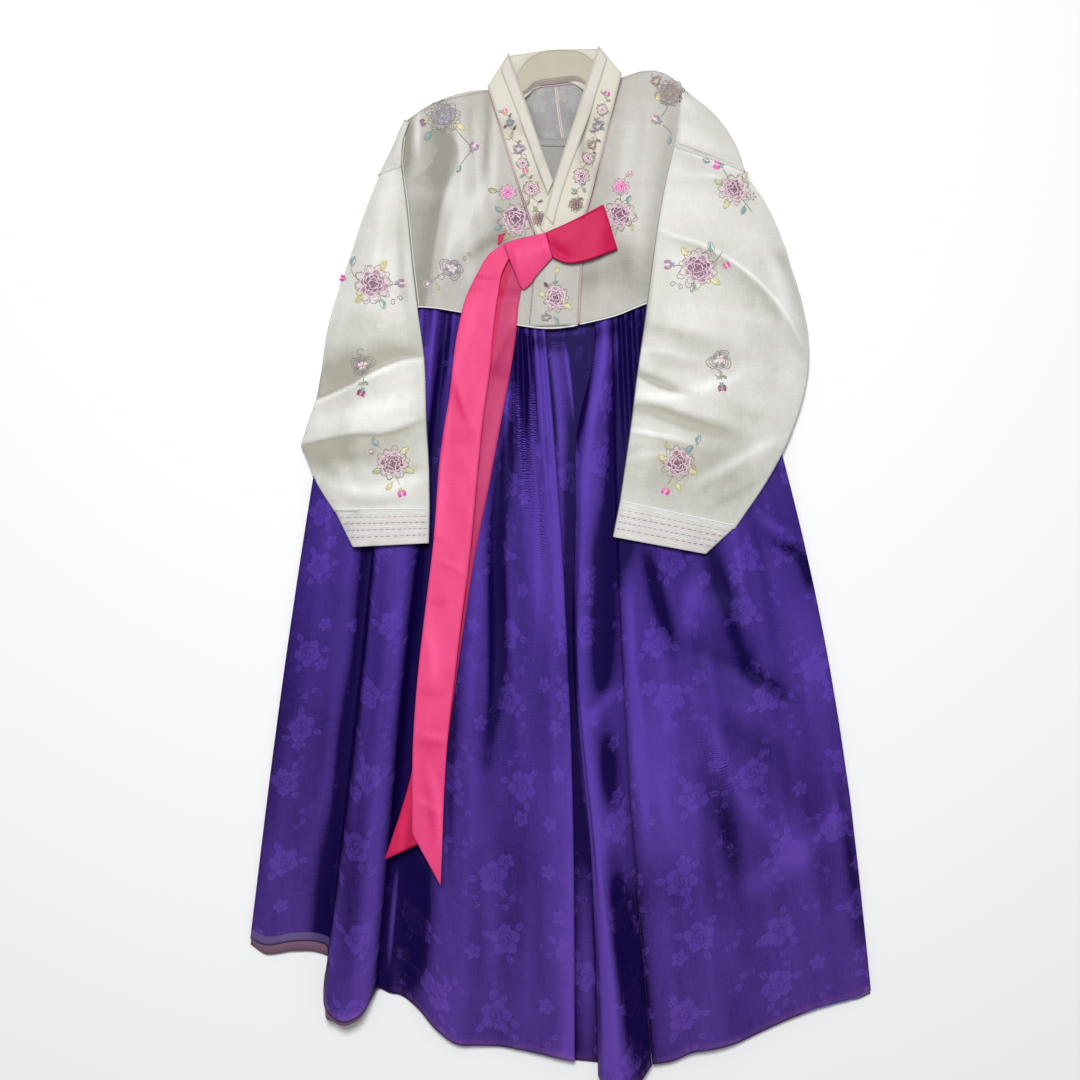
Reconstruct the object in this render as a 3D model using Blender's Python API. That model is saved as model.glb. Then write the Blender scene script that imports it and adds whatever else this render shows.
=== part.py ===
"""Korean hanbok laid flat on its back: a cream jeogori with its sleeves folded forward, its collar and
its long ribbon tied in a one-loop bow, over a purple chima that fans out to the hem.

+X is towards the wearer's left, +Y towards the collar and +Z up from the surface. The tables are in
millimetres, the meshes in metres. Each piece of cloth is a grid of points, rows running down the
garment and columns across it, that Solidify makes a wall. A piece is laid on the heap of the pieces
beneath it, so every layer rests on the last one, and the whole is centred over the origin at the end.
"""

import math

import bpy
import numpy as np
from mathutils import Vector

MM = 0.001

# Cloth
WALL = 1.2  # one layer of organza with its turnings
QUILTED = 1.8  # cuffs, with a batting between their rows of stitching
SEAM = 0.3  # clearance between two pieces that are sewn or lie together
HOLLOW = 0.8  # least space between the two layers of a tube pressed flat

TUCK = 0.12  # by which a tube's lower layer is narrower than its upper one

# Jeogori
SHOULDER_LEFT = (-200, 571)
SHOULDER_RIGHT = (165, 605)
ARMHOLE_LEFT = [(-203, 508), (-231, 498)]  # inner and outer end of the seam, on the folded sleeve
ARMHOLE_RIGHT = [(146, 535), (236, 502)]
TURN_ROWS = 4  # rows of the back that turn up over the shoulder
SIDE_ROWS = 7  # rows of the back from the armhole's outer end down to the hem
TURN_REACH = 30  # the shoulders' turns clear everything this near
TURN_BULGE = 2.4  # of the shoulder's fold beyond the back's edge
SLEEVE_RISE = 3 * WALL + HOLLOW  # of a sleeve's outer face over what it lies on, at its edges
COLLAR_STAND = 11.0  # of the neck stretch's upper edge above its seam
LOOP_RISE = 7.0  # of the bow's loop above its lower layer
LOOP_ROWS, LOOP_COLUMNS = 7, 6  # of each layer of the loop

# Chima
WAIST_Y = 400
WAIST_RISE = 4.5  # of the gathers' valleys, at the waist
BODICE_TOP = 546
GATHER_HEIGHT = 7.0
GATHERED = 0.42  # share of the skirt's length over which the gathers die away
FLOOR_LAYERS = 3.1  # height of the front's inner face where it lies flat on the underskirt and the back


# ---------------------------------------------------------------- curves and grids


def along(points, count):
    """Evenly spaced points on a smooth curve: cubic pieces whose slope at each point is that of the chord
    between its neighbours, measured by the distance along the chords."""
    points = np.asarray(points, float)
    chord = np.concatenate([[0], np.cumsum(np.linalg.norm(np.diff(points, axis=0), axis=1))])
    if len(points) > 2:
        slope = np.gradient(points, chord, axis=0)
    else:
        slope = np.diff(points, axis=0).repeat(2, axis=0) / chord[-1]
    at = np.linspace(0, chord[-1], count)
    span = np.clip(np.searchsorted(chord, at, side="right") - 1, 0, len(points) - 2)
    length = (chord[span + 1] - chord[span])[:, None]
    t = ((at - chord[span]) / length[:, 0])[:, None]
    return (
        (2 * t**3 - 3 * t**2 + 1) * points[span]
        + (t**3 - 2 * t**2 + t) * length * slope[span]
        + (3 * t**2 - 2 * t**3) * points[span + 1]
        + (t**3 - t**2) * length * slope[span + 1]
    )


def between(top, bottom, left, right, rows, columns):
    """Plan of a panel from its four edges: each point is blended from the two edges across and the two
    edges along, less the blend of the four corners."""
    top, bottom = along(top, columns), along(bottom, columns)
    left, right = along(left, rows), along(right, rows)
    down = np.linspace(0, 1, rows)[:, None, None]
    across = np.linspace(0, 1, columns)[None, :, None]
    start = (1 - down) * top[0] + down * bottom[0]
    end = (1 - down) * top[-1] + down * bottom[-1]
    across_rows = (1 - down) * top + down * bottom
    return across_rows + (1 - across) * (left[:, None] - start) + across * (right[:, None] - end)


def ruled(left, right, rows, columns):
    """Plan of a strip whose rows run straight from its left edge to its right edge."""
    across = np.linspace(0, 1, columns)[None, :, None]
    return along(left, rows)[:, None] * (1 - across) + along(right, rows)[:, None] * across


def lifted(plan, height):
    """The plan's points with a height each."""
    return np.concatenate([plan, np.broadcast_to(height, plan.shape[:2])[..., None]], axis=2)


# ---------------------------------------------------------------- the heap of cloth


CELL = 3.0
EASE = 6.0  # over which cloth slopes down from what it lies on
HEAP_CORNER = np.array([-440.0, -720.0])
heap = np.zeros((300, 480))


def over_square(field, reach, combine):
    """The field with each cell's value combined over the square within reach of it, one axis at a time."""
    steps = int(math.ceil(reach / CELL))
    for axis in (0, 1):
        padded = np.pad(field, [(steps, steps) if a == axis else (0, 0) for a in (0, 1)], mode="edge")
        shifts = [np.take(padded, np.arange(i, i + field.shape[axis]), axis) for i in range(2 * steps + 1)]
        field = combine(shifts, axis=0)
    return field


def cell_reach(plan):
    """The longest diagonal of a plan's cells. Cloth that clears everything this near to its points clears it
    in between as well."""
    ends = (plan[1:, 1:], plan[:-1, :-1]), (plan[1:, :-1], plan[:-1, 1:])
    return max(np.linalg.norm(a - b, axis=2).max() for a, b in ends)


def rest_height(plan, reach=None, bed=None):
    """Height at which cloth lies on the heap, or on the bed, at each point: the highest point within reach,
    eased by a mean over a smaller square so that it slopes softly, and a seam's clearance."""
    highest = over_square(heap if bed is None else bed, (reach or cell_reach(plan)) + EASE + CELL, np.max)
    eased = over_square(highest, EASE, np.mean)
    cell = np.floor((plan - HEAP_CORNER) / CELL).astype(int)
    return eased[cell[..., 0], cell[..., 1]] + SEAM


def raise_heap(corners):
    """Raises the heap to the triangles with these corners, from points spread closely over them."""
    longest = np.linalg.norm(corners - np.roll(corners, 1, axis=1), axis=2).max()
    steps = int(longest / (0.6 * CELL)) + 2
    for i in range(steps + 1):
        for j in range(steps + 1 - i):
            a, b = i / steps, j / steps
            spot = corners[:, 0] * (1 - a - b) + corners[:, 1] * a + corners[:, 2] * b
            cell = np.floor((spot[:, :2] - HEAP_CORNER) / CELL).astype(int)
            np.maximum.at(heap, (cell[:, 0], cell[:, 1]), spot[:, 2])


def wall_triangles(obj):
    """Corners of the triangles of an object's wall, in millimetres."""
    bpy.context.view_layer.update()
    mesh = obj.evaluated_get(bpy.context.evaluated_depsgraph_get()).to_mesh()
    mesh.calc_loop_triangles()
    points = np.array([v.co for v in mesh.vertices]) / MM
    return points[np.array([t.vertices for t in mesh.loop_triangles])]


# ---------------------------------------------------------------- walls


TUBE_ACROSS = 8  # points across each layer of a tube


def material(name, colour, roughness):
    made = bpy.data.materials.new(name)
    made.use_nodes = True
    shader = made.node_tree.nodes["Principled BSDF"]
    shader.inputs["Base Color"].default_value = (*colour, 1)
    shader.inputs["Roughness"].default_value = roughness
    shader.inputs["Metallic"].default_value = 0
    return made


def grid_quads(rows, columns, ring=False):
    """Faces of a grid whose rows run down and whose columns run to the right, so that normals point up;
    the last column joins the first on a ring."""
    return [
        (r * columns + c, (r + 1) * columns + c, (r + 1) * columns + d, r * columns + d)
        for r in range(rows - 1)
        for c, d in ((c, (c + 1) % columns) for c in range(columns if ring else columns - 1))
    ]


def piece(name, points, cloth, quads=None, thickness=WALL, turned=False):
    """A surface made a wall along its normals, or against them where it is turned, and added to the heap.
    With no quads given its points are a grid."""
    points = np.asarray(points)
    faces = grid_quads(*points.shape[:2]) if quads is None else quads
    faces = [quad[::-1] for quad in faces] if turned else faces
    mesh = bpy.data.meshes.new(name)
    mesh.from_pydata((points.reshape(-1, 3) * MM).tolist(), [], faces)
    mesh.shade_smooth()
    mesh.materials.append(cloth)
    obj = bpy.data.objects.new(name, mesh)
    bpy.context.scene.collection.objects.link(obj)
    solidify = obj.modifiers.new("wall", "SOLIDIFY")
    solidify.thickness = thickness * MM
    solidify.offset = 1
    raise_heap(wall_triangles(obj))


def laid(name, plan, cloth, extra=0.0, bed=None):
    """A panel lying on the heap, or on the bed."""
    piece(name, lifted(plan, rest_height(plan, bed=bed) + extra), cloth)


def flat_tube(name, bed, inner, outer, cloth, rows, crown, creases=(), thickness=WALL):
    """A tube pressed flat, such as a folded sleeve. Its lower layer lies on the bed; its upper layer stands
    over it by the wall, a hollow and a crown, highest half-way across and given for evenly spaced rows.
    The creases raise or lower the upper layer in soft bands."""
    plan = ruled(inner, outer, rows, TUBE_ACROSS)
    low = rest_height(plan, bed=bed) + thickness
    share = np.linspace(0, 1, TUBE_ACROSS)[None, :]
    down = np.linspace(0, 1, rows)[:, None]
    crowns = np.interp(down, np.linspace(0, 1, len(crown)), crown)
    rise = crowns * np.sin(math.pi * share) ** 0.7
    for at_inner, at_outer, width, height in creases:
        offset = (down - (at_inner + (at_outer - at_inner) * share)) / width
        rise = rise + height * np.exp(-(offset**2)) * np.sin(math.pi * (0.08 + 0.84 * share))
    high = low + thickness + HOLLOW + np.maximum(rise, 0)
    step = plan[:, 1:2] - plan[:, :1]
    ring = np.concatenate([lifted(plan, high), lifted(plan, low)[:, ::-1]], axis=1)
    ring[:, [0, -1], :2] -= TUCK * step / np.linalg.norm(step, axis=2, keepdims=True)
    leftwards = plan[0, 0, 0] > plan[0, -1, 0]
    piece(name, ring, cloth, grid_quads(*ring.shape[:2], ring=True), thickness, leftwards)


# ---------------------------------------------------------------- the skirt


# Lines of the front, from waist to hem: x at the waist, x and y at the hem, sideways bow half-way down,
# and height above the layers on the floor half-way down and at the hem.
LEFT_FOLDS = [
    # waist_x, hem_x, hem_y, bow, mid_z, hem_z
    (-268, -399, -482, -8, 0, 0),
    (-256, -380, -490, -6, 4, 2),
    (-240, -345, -485, -4, 8, 4),
    (-222, -314, -486, -2, 5, 3),
    (-206, -297, -494, 0, 1, 1),
    (-198, -302, -536, 2, 8, 14),
    (-188, -297, -570, 2, 17, 28),
    (-175, -277, -581, 2, 22, 35),
    (-160, -254, -573, 0, 20, 32),
    (-149, -240, -553, 0, 12, 18),
    (-141, -233, -545, 0, 3, 3),
    (-132, -221, -552, 0, 1, 0),
    (-120, -206, -555, 0, 2, 0),
    (-108, -186, -568, 0, 4, 3),
    (-96, -158, -598, 0, 8, 10),
    (-84, -131, -616, 2, 11, 12),
    (-72, -104, -618, 5, 8, 8),
    (-60, -74, -620, 8, 5, 5),
    (-48, -42, -625, 11, 9, 9),
    (-38, -8, -632, 13, 12, 12),
    (-30, 17, -637, 15, 12, 13),
]
RIGHT_FOLDS = [
    # waist_x, hem_x, hem_y, bow, mid_z, hem_z
    (66, 118, -641, -12, 11, 11),
    (76, 142, -638, -8, 12, 11),
    (90, 168, -627, -2, 11, 13),
    (104, 196, -622, 4, 7, 14),
    (120, 226, -615, 9, 4, 10),
    (136, 256, -602, 14, 6, 7),
    (152, 288, -587, 18, 11, 8),
    (168, 318, -575, 22, 10, 9),
    (184, 350, -566, 25, 5, 6),
    (199, 380, -558, 28, 2, 2),
    (212, 400, -548, 30, 0, 0),
]
# The box pleat: x of its standing fold's edge and of its ridge, and the ridge's height, by share of the
# length from waist to hem.
PLEAT = [
    # share, edge_x, ridge_x, ridge_z
    (0.0, 40, 50, 10),
    (0.12, 44, 53, 12),
    (0.22, 22, 34, 14),
    (0.33, 20, 30, 15),
    (0.50, 17, 26, 16),
    (0.61, 27, 36, 18),
    (0.70, 37, 46, 21),
    (0.84, 45, 62, 26),
    (1.0, 49, 77, 31),
]
ROW_SHARES = np.array([0, 0.06, 0.12, 0.18, 0.25, 0.33, 0.42, 0.53, 0.65, 0.76, 0.86, 0.94, 1.0])
LEFT_LINES, RIGHT_LINES = 37, 22  # lines across each width
FOLD_RISE = 5.0  # least height of the left width's folded edge above the floor layers
FOLD_CLEAR = 2.9  # height of the cloth turned beneath it above the floor layers
PLEAT_TURN = 22.0  # by which the box pleat's recess runs beneath its standing fold
PLEAT_RETURN = 4.4  # height of the return beneath the standing fold above the recess
LINING_ROW = 7  # the underskirt is made from this row down to the hem, where it shows
# How far the underskirt shows beyond the hem, by the hem's x
PEEK = [(-400, 8), (-380, 12), (-300, 14), (-290, 5), (-240, 4), (-215, -5), (350, -5), (385, 3), (400, 5)]


def skirt_surface(table, count, first_gather):
    """Inner face of a width, as rows down and lines across. A line runs straight from waist to hem with its
    sideways bow, and its height goes from the waist to half-way and on to the hem. Every second line is
    the crest of a gather, a little uneven, that dies away down the skirt."""
    waist_x, hem_x, hem_y, bow, mid_z, hem_z = along(table, count).T
    share = ROW_SHARES[:, None]
    x = waist_x * (1 - share) + hem_x * share + bow * np.sin(math.pi * share)
    y = (WAIST_Y - SEAM) * (1 - share) + hem_y * share
    early = np.clip(2 * share, 0, 1)
    late = np.clip(2 * share - 1, 0, 1)
    z = WAIST_RISE * (1 - early) + mid_z * np.sin(early * math.pi / 2) * (1 - late) + hem_z * late
    line = np.arange(first_gather, first_gather + count)
    uneven = 1 + 0.25 * np.sin(1.7 * line) + 0.2 * np.sin(0.61 * line + 1)
    fade = np.clip(1 - share / GATHERED, 0, 1) ** 1.3
    return np.stack([x, y, z + GATHER_HEIGHT * uneven * (line % 2) * fade + FLOOR_LAYERS], axis=2)


def moved_in(points, distance):
    """The grid's points moved against its normals."""
    normal = np.cross(np.gradient(points, axis=0), np.gradient(points, axis=1))
    return points - distance * normal / np.linalg.norm(normal, axis=2, keepdims=True)


def turned_under(surface):
    """The left width with columns that carry it round its folded edge and back beneath itself."""
    edge = surface[:, -1].copy()
    edge[:, 2] = np.maximum(edge[:, 2], FLOOR_LAYERS + FOLD_RISE)
    depth = edge[:, 2] - (FLOOR_LAYERS + FOLD_CLEAR)
    turn = []
    for sideways, down in ((0, 0), (2, 0.35), (1, 0.8), (-18, 1)):
        turn.append(edge + np.stack([0 * depth + sideways, 0 * depth, -depth * down], axis=1))
    return np.concatenate([surface[:, :-1], np.stack(turn, axis=1)], axis=1)


def box_pleat(left_edge, seam_line):
    """The centre width: a recess floor from beneath the left width's edge to beneath the standing fold, a
    turn, a return to the fold's edge, another turn, and the top over the ridge to the next seam."""
    table = np.array(PLEAT)
    edge_x, ridge_x, ridge_z = (np.interp(ROW_SHARES, table[:, 0], table[:, i]) for i in (1, 2, 3))
    seam_x, seam_z = seam_line[:, 0] - 2 * SEAM, seam_line[:, 2] - FLOOR_LAYERS
    turn_x = np.minimum(edge_x + PLEAT_TURN, seam_x - 6)
    top_z = PLEAT_RETURN + (ridge_z - PLEAT_RETURN) * 0.55
    floor = 0 * edge_x
    columns = [
        # x, hem_y, z above the floor layers
        (left_edge[:, 0] - 15, -638, floor),
        (left_edge[:, 0] + 4, -639, floor),
        ((left_edge[:, 0] + edge_x) / 2, -640, floor),
        (edge_x + 4, -642, floor),
        (turn_x, -644, floor),
        (turn_x + 2.6, -646, floor + PLEAT_RETURN / 2),
        (turn_x, -648, floor + PLEAT_RETURN),
        (edge_x + 4, -652, floor + PLEAT_RETURN),
        (edge_x - 0.5, -655, (PLEAT_RETURN + top_z) / 2),
        (edge_x + 3, -660, top_z),
        (ridge_x, -674, ridge_z),
        ((ridge_x + seam_x) / 2, -667, (ridge_z + seam_z) / 2 + 2),
        (seam_x, -642, seam_z),
    ]
    points = []
    for x, hem_y, z in columns:
        y = (WAIST_Y - SEAM) * (1 - ROW_SHARES) + hem_y * ROW_SHARES
        points.append(np.stack([x, y, z + FLOOR_LAYERS], axis=1))
    return np.stack(points, axis=1)


def underskirt(left, right):
    """The layer beneath, from the widths' own points moved in, lying flat below the box pleat, and running
    past the hem where it shows."""
    shared_left = left[:, : LEFT_LINES - 4]
    shared_right = right[:, 2:]
    gap = [shared_left[:, -1] * (1 - t) + shared_right[:, 0] * t for t in (0.12, 0.3, 0.5, 0.7, 0.85)]
    floor = np.stack(gap, axis=1)
    floor[..., 2] = FLOOR_LAYERS
    whole = np.concatenate([shared_left, floor, shared_right], axis=1)[LINING_ROW:]
    lining = moved_in(whole, WALL + SEAM)
    peek_x, peek = np.array(PEEK).T
    lining[-1, :, 1] -= np.interp(lining[-1, :, 0], peek_x, peek)
    lining[..., 2] = np.maximum(lining[..., 2], WALL + SEAM)
    return lining


def build_skirt(cloth, lining_cloth, white):
    waist = [(-262, WAIST_Y - SEAM), (210, WAIST_Y - SEAM)]
    hem = [(-394, -474), (-300, -480), (-215, -536), (-120, -600)]
    hem += [(0, -625), (110, -632), (250, -592), (395, -545)]
    left = [waist[0], (-330, -40), hem[0]]
    right = [waist[1], (300, 0), (366, -250), hem[-1]]
    back = between(waist, hem, left, right, 13, 14)
    lift = (rest_height(back) - SEAM) * (WALL + SEAM) / WALL
    piece("chima_back", lifted(back, lift), cloth)

    waist = [(-260, WAIST_Y + SEAM), (208, WAIST_Y + SEAM)]
    for name, above in (("chima_bodice_back", 0), ("chima_bodice_front", 4)):
        y = BODICE_TOP + above
        top = [(-196, y - 6), (-20, y - 2), (196, y - 14)]
        laid(name, between(top, waist, [top[0], waist[0]], [top[-1], waist[-1]], 4, 8), white)

    left = skirt_surface(LEFT_FOLDS, LEFT_LINES, 0)
    right = skirt_surface(RIGHT_FOLDS, RIGHT_LINES, LEFT_LINES)
    pieces = {
        "chima_front_left": turned_under(left),
        "chima_front_centre": box_pleat(left[:, -1], right[:, 0]),
        "chima_front_right": right,
    }
    piece("chima_underskirt", underskirt(left, right), lining_cloth)
    for name, points in pieces.items():
        piece(name, points, cloth)


# ---------------------------------------------------------------- the jacket


def jacket_back_plan():
    """Plan of the back. Its rows meet the outer ends of the armhole seams, where the shoulders turn up."""
    neck = [(-90, 611), (-48, 600), (-31, 617), (17, 623), (34, 610), (79, 627)]
    top = [SHOULDER_LEFT, (-168, 592), *neck, (108, 636), (124, 636), (150, 623), SHOULDER_RIGHT]
    hem = [(-252, 318), (-120, 336), (-20, 328), (90, 340), (226, 352)]
    outlines = (
        # shoulder, side
        ([SHOULDER_LEFT, (-208, 547), ARMHOLE_LEFT[1]], [ARMHOLE_LEFT[1], (-245, 455), (-250, 400), hem[0]]),
        (
            [SHOULDER_RIGHT, (200, 573), (228, 528), ARMHOLE_RIGHT[1]],
            [ARMHOLE_RIGHT[1], (238, 460), (234, 400), hem[-1]],
        ),
    )
    edges = [np.concatenate([along(a, TURN_ROWS + 1), along(b, SIDE_ROWS)[1:]]) for a, b in outlines]
    return between(top, hem, *edges, TURN_ROWS + SIDE_ROWS, 15)


def shoulder_turn(plan, side, inner):
    """Columns that carry the back round the shoulder's fold line and over to the inner edge of the turn."""
    outer = plan[: TURN_ROWS + 1, 0 if side < 0 else -1]
    inner = along(inner, TURN_ROWS + 1)
    height = rest_height(inner, reach=TURN_REACH) + SLEEVE_RISE
    bulge = outer + np.array([side * TURN_BULGE, TURN_BULGE / 4])
    columns = [lifted(bulge[:, None], height[:, None] / 2)[:, 0]]
    for share in (0.0, 0.25, 0.5, 0.75, 1.0):
        spot = outer * (1 - share) + inner * share
        columns.append(np.concatenate([spot, (height + 2 * math.sin(math.pi * share))[:, None]], axis=1))
    return np.stack(columns, axis=1)


def jacket_back(plan, cloth):
    """The back, flat on the floor, with both shoulder turns stitched to its outer columns."""
    rows, columns = plan.shape[:2]
    points = [lifted(plan, 0.0).reshape(-1, 3)]
    quads = grid_quads(rows, columns)
    inner_edges = (
        # side, inner edge of the turn
        (-1, [(-193, 569), (-201, 545), ARMHOLE_LEFT[0]]),
        (1, [(157, 609), (153, 585), ARMHOLE_RIGHT[0]]),
    )
    for side, inner in inner_edges:
        extra = shoulder_turn(plan, side, inner)
        start = sum(len(p) for p in points)
        points.append(extra.reshape(-1, 3))
        index = start + np.arange(extra.shape[0] * extra.shape[1]).reshape(extra.shape[:2])
        edge = np.arange(TURN_ROWS + 1) * columns + (0 if side < 0 else columns - 1)
        index = np.concatenate([edge[:, None], index], axis=1)
        for r in range(TURN_ROWS):
            for c in range(index.shape[1] - 1):
                quad = (index[r, c], index[r + 1, c], index[r + 1, c + 1], index[r, c + 1])
                quads.append(tuple(int(i) for i in (quad if side > 0 else quad[::-1])))
    piece("jeogori_back", np.concatenate(points), cloth, quads)


def build_jacket_fronts(cloth):
    """The wearer's right front lies beneath; the left front and its overlap lie on it."""
    laid(
        "jeogori_front_right",
        between(
            [(-197, 567), (-168, 589), (-92, 608)],
            [(-249, 317), (-181, 329), (-125, 322), (-53, 306), (-20, 302), (20, 305)],
            [(-197, 567), (-205, 546), (-226, 498), (-241, 455), (-247, 400), (-249, 317)],
            [(-92, 608), (-62, 513), (-34, 424), (-8, 370), (20, 305)],
            12,
            11,
        ),
        cloth,
    )
    laid(
        "jeogori_front_left",
        between(
            [(81, 624), (108, 632), (124, 632), (162, 601)],
            [(24, 307), (72, 319), (110, 334), (224, 347)],
            [(81, 624), (57, 538), (36, 452), (28, 381), (24, 307)],
            [(162, 601), (196, 571), (223, 528), (232, 500), (235, 460), (231, 400), (224, 347)],
            12,
            8,
        ),
        cloth,
    )
    overlap = [(-30, 420), (-35, 359), (-40, 304)], [(31, 420), (27, 381), (23, 306)]
    laid("seop_outer", ruled(*overlap, 7, 4), cloth)


def build_collar(cloth, white):
    """The neck stretch of the collar stands up from the back's neck seam with its inner face showing; each
    front strip runs from the neck corner down its front's edge, and the dongjeong lies along it."""
    stand = COLLAR_STAND * np.linspace(1, 0, 5)[:, None] ** 1.5
    neck = between(
        [(-67, 652), (-8, 660), (50, 661)],
        [(-62, 596), (-48, 598), (-31, 613), (17, 619), (34, 607), (52, 598)],
        [(-67, 652), (-62, 596)],
        [(50, 661), (52, 598)],
        5,
        9,
    )
    laid("git_back", neck, cloth, stand)
    facing = between(
        [(-56, 626), (-43, 645), (-26, 656), (6, 659), (27, 656), (45, 643)],
        [(-50, 603), (-31, 617), (17, 623), (44, 610)],
        [(-56, 626), (-50, 603)],
        [(45, 643), (44, 610)],
        4,
        9,
    )
    laid("dongjeong_back", facing, white)
    right_outer = [(-93, 612), (-62, 515), (-32, 422), (-24, 396)]
    right_inner = [(-66, 655), (-37, 573), (-8, 491), (8, 446)]
    laid("git_right", ruled(right_outer, right_inner, 26, 4), cloth)
    right_border = [(-76, 632), (-44, 549), (-16, 472)]
    right_rim = [(-66.8, 653.5), (-37.8, 571.5), (-8.8, 489.5)]
    laid("dongjeong_right", ruled(right_border, right_rim, 22, 3), white)
    left_outer = [(79, 628), (57, 540), (35, 453), (17, 392)]
    left_inner = [(49, 664), (20, 576), (-8, 489), (-26, 428)]
    laid("git_left", ruled(left_inner, left_outer, 26, 4), cloth)
    left_border = [(60, 646), (37, 573), (-1, 463), (-9, 433)]
    left_rim = [(49.8, 662.5), (20.8, 574.5), (-8.4, 484), (-19, 444)]
    laid("dongjeong_left", ruled(left_rim, left_border, 22, 3), white)


BACK_TAIL = [
    # outer_x, outer_y, inner_x, inner_y
    (-86, 360, -50, 348),
    (-104, 282, -57, 288),
    (-124, 168, -77, 175),
    (-136, 100, -90, 106),
    (-154, 0, -110, 5),
    (-166, -110, -126, -100),
    (-178, -210, -140, -200),
    (-194, -284, -152, -280),
    (-223, -375, -172, -352),
]
FRONT_TAIL = [
    # outer_x, outer_y, inner_x, inner_y
    (-71.3, 409, -65.3, 390),
    (-92, 394, -74, 372),
    (-105, 372, -79, 345),
    (-120, 341, -84, 310),
    (-130, 302, -89, 255),
    (-142, 212, -99, 181),
    (-152, 148, -105, 120),
    (-162, 25, -116, 5),
    (-172, -58, -125, -64),
    (-181, -138, -134, -140),
    (-187, -221, -143, -221),
    (-188, -342, -152, -408),
]


def build_tails(cloth):
    """The two free tails of the ribbon, the back one first."""
    back, front = np.array(BACK_TAIL), np.array(FRONT_TAIL)
    laid("goreum_back_tail", ruled(back[:, :2], back[:, 2:], 32, 3), cloth)
    laid("goreum_front_tail", ruled(front[:, :2], front[:, 2:], 36, 4), cloth)


def build_bow(cloth, bed):
    """The loop with its far end turned over, the short end, and the knot wrapped round them."""
    top = [(-19 + SEAM, 422), (20, 438), (54, 454)]
    bottom = [(-10 + SEAM, 391), (10, 381), (46, 386), (71, 402)]
    plan = ruled(top, bottom, LOOP_ROWS, LOOP_COLUMNS)
    low = rest_height(plan, bed=bed) + WALL
    rise = LOOP_RISE * np.sin(math.pi * np.linspace(0.12, 0.62, LOOP_ROWS))[:, None]
    lower = lifted(plan, low)
    upper = lifted(plan, low + WALL + HOLLOW + rise)[::-1]
    far = (lower[-1:] + upper[:1]) / 2 + np.array([2.0, 0.3, 0])
    piece("goreum_loop", np.concatenate([lower, far, upper]), cloth)
    laid("goreum_end", ruled([(-79, 421), (-80, 408)], [(-70, 424), (-74.5, 411.5)], 3, 3), cloth, bed=bed)
    upper_edge = [(-71, 409), (-60, 412.5), (-19, 422)]
    lower_edge = [(-65, 390), (-50, 352), (-10, 391)]
    flat_tube("goreum_knot", bed, upper_edge, lower_edge, cloth, 5, (4, 5, 4))


# Creases across a sleeve: share of its length at the inner and at the outer edge, width and height
LEFT_CREASES = ((0.57, 0.66, 0.05, -5), (0.75, 0.82, 0.06, 4), (0.30, 0.24, 0.08, 2))
RIGHT_CREASES = ((0.22, 0.30, 0.05, -3), (0.50, 0.44, 0.06, 4), (0.62, 0.60, 0.05, -4), (0.74, 0.76, 0.06, 3))


def build_sleeves(cloth, bed):
    """Each sleeve lies over the front with its straight upper edge inwards and its curved seam outwards, and
    its cuff is sewn to its end."""
    inner = [(-203, 507), (-196, 455), (-190, 396), (-182, 329)]
    inner += [(-173, 260), (-170, 180), (-167, 125), (-166, 72)]
    outer = [(-231, 497), (-250, 449), (-271, 384), (-296, 305)]
    outer += [(-310, 222), (-332, 152), (-313, 108), (-291, 71)]
    flat_tube("sleeve_left", bed, inner, outer, cloth, 17, (2, 6, 8, 7, 5), LEFT_CREASES)
    cuff = [(-166, 71), (-167, 27)], [(-290, 70), (-265, 22)]
    flat_tube("cuff_left", bed, *cuff, cloth, 4, (5, 5), thickness=QUILTED)

    inner = [(146, 534), (135, 490), (124, 430), (117, 380), (111, 335)]
    inner += [(104, 285), (97, 235), (91, 185), (84, 135), (76, 82)]
    outer = [(236, 501), (260, 466), (285, 413), (305, 360), (318, 305)]
    outer += [(320, 262), (313, 217), (298, 172), (272, 118), (227, 50)]
    flat_tube("sleeve_right", bed, inner, outer, cloth, 19, (2, 6, 9, 9, 8, 6), RIGHT_CREASES)
    cuff = [(76, 81), (67, 35)], [(226, 49), (187, 13)]
    flat_tube("cuff_right", bed, *cuff, cloth, 4, (6, 5), thickness=QUILTED)


def centre_over_origin():
    """Moves every mesh so that the whole rests on z = 0 with the middle of its box over the origin."""
    corners = np.concatenate([wall_triangles(obj).reshape(-1, 3) for obj in bpy.data.objects])
    low, high = corners.min(axis=0), corners.max(axis=0)
    shift = np.array([-(low[0] + high[0]) / 2, -(low[1] + high[1]) / 2, -low[2]]) * MM
    for obj in bpy.data.objects:
        for vertex in obj.data.vertices:
            vertex.co += Vector(shift)


def main():
    for obj in list(bpy.data.objects):
        bpy.data.objects.remove(obj, do_unlink=True)
    cream = material("cream organza", (0.76, 0.75, 0.68), 0.55)
    purple = material("purple organza", (0.055, 0.02, 0.2), 0.5)
    rose = material("rose brown organza", (0.2, 0.09, 0.14), 0.6)
    pink = material("hot pink organza", (0.85, 0.08, 0.23), 0.5)
    white = material("white cotton", (0.8, 0.8, 0.78), 0.8)
    plan = jacket_back_plan()
    flat = lifted(plan, WALL).reshape(-1, 3)
    quads = np.array(grid_quads(*plan.shape[:2]))
    raise_heap(flat[np.concatenate([quads[:, :3], quads[:, [0, 2, 3]]])])
    build_skirt(purple, rose, white)
    build_jacket_fronts(cream)
    jacket_back(plan, cream)
    build_collar(cream, white)
    bed = heap.copy()
    build_tails(pink)
    build_sleeves(cream, bed)
    build_bow(pink, bed)
    centre_over_origin()


main()
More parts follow.
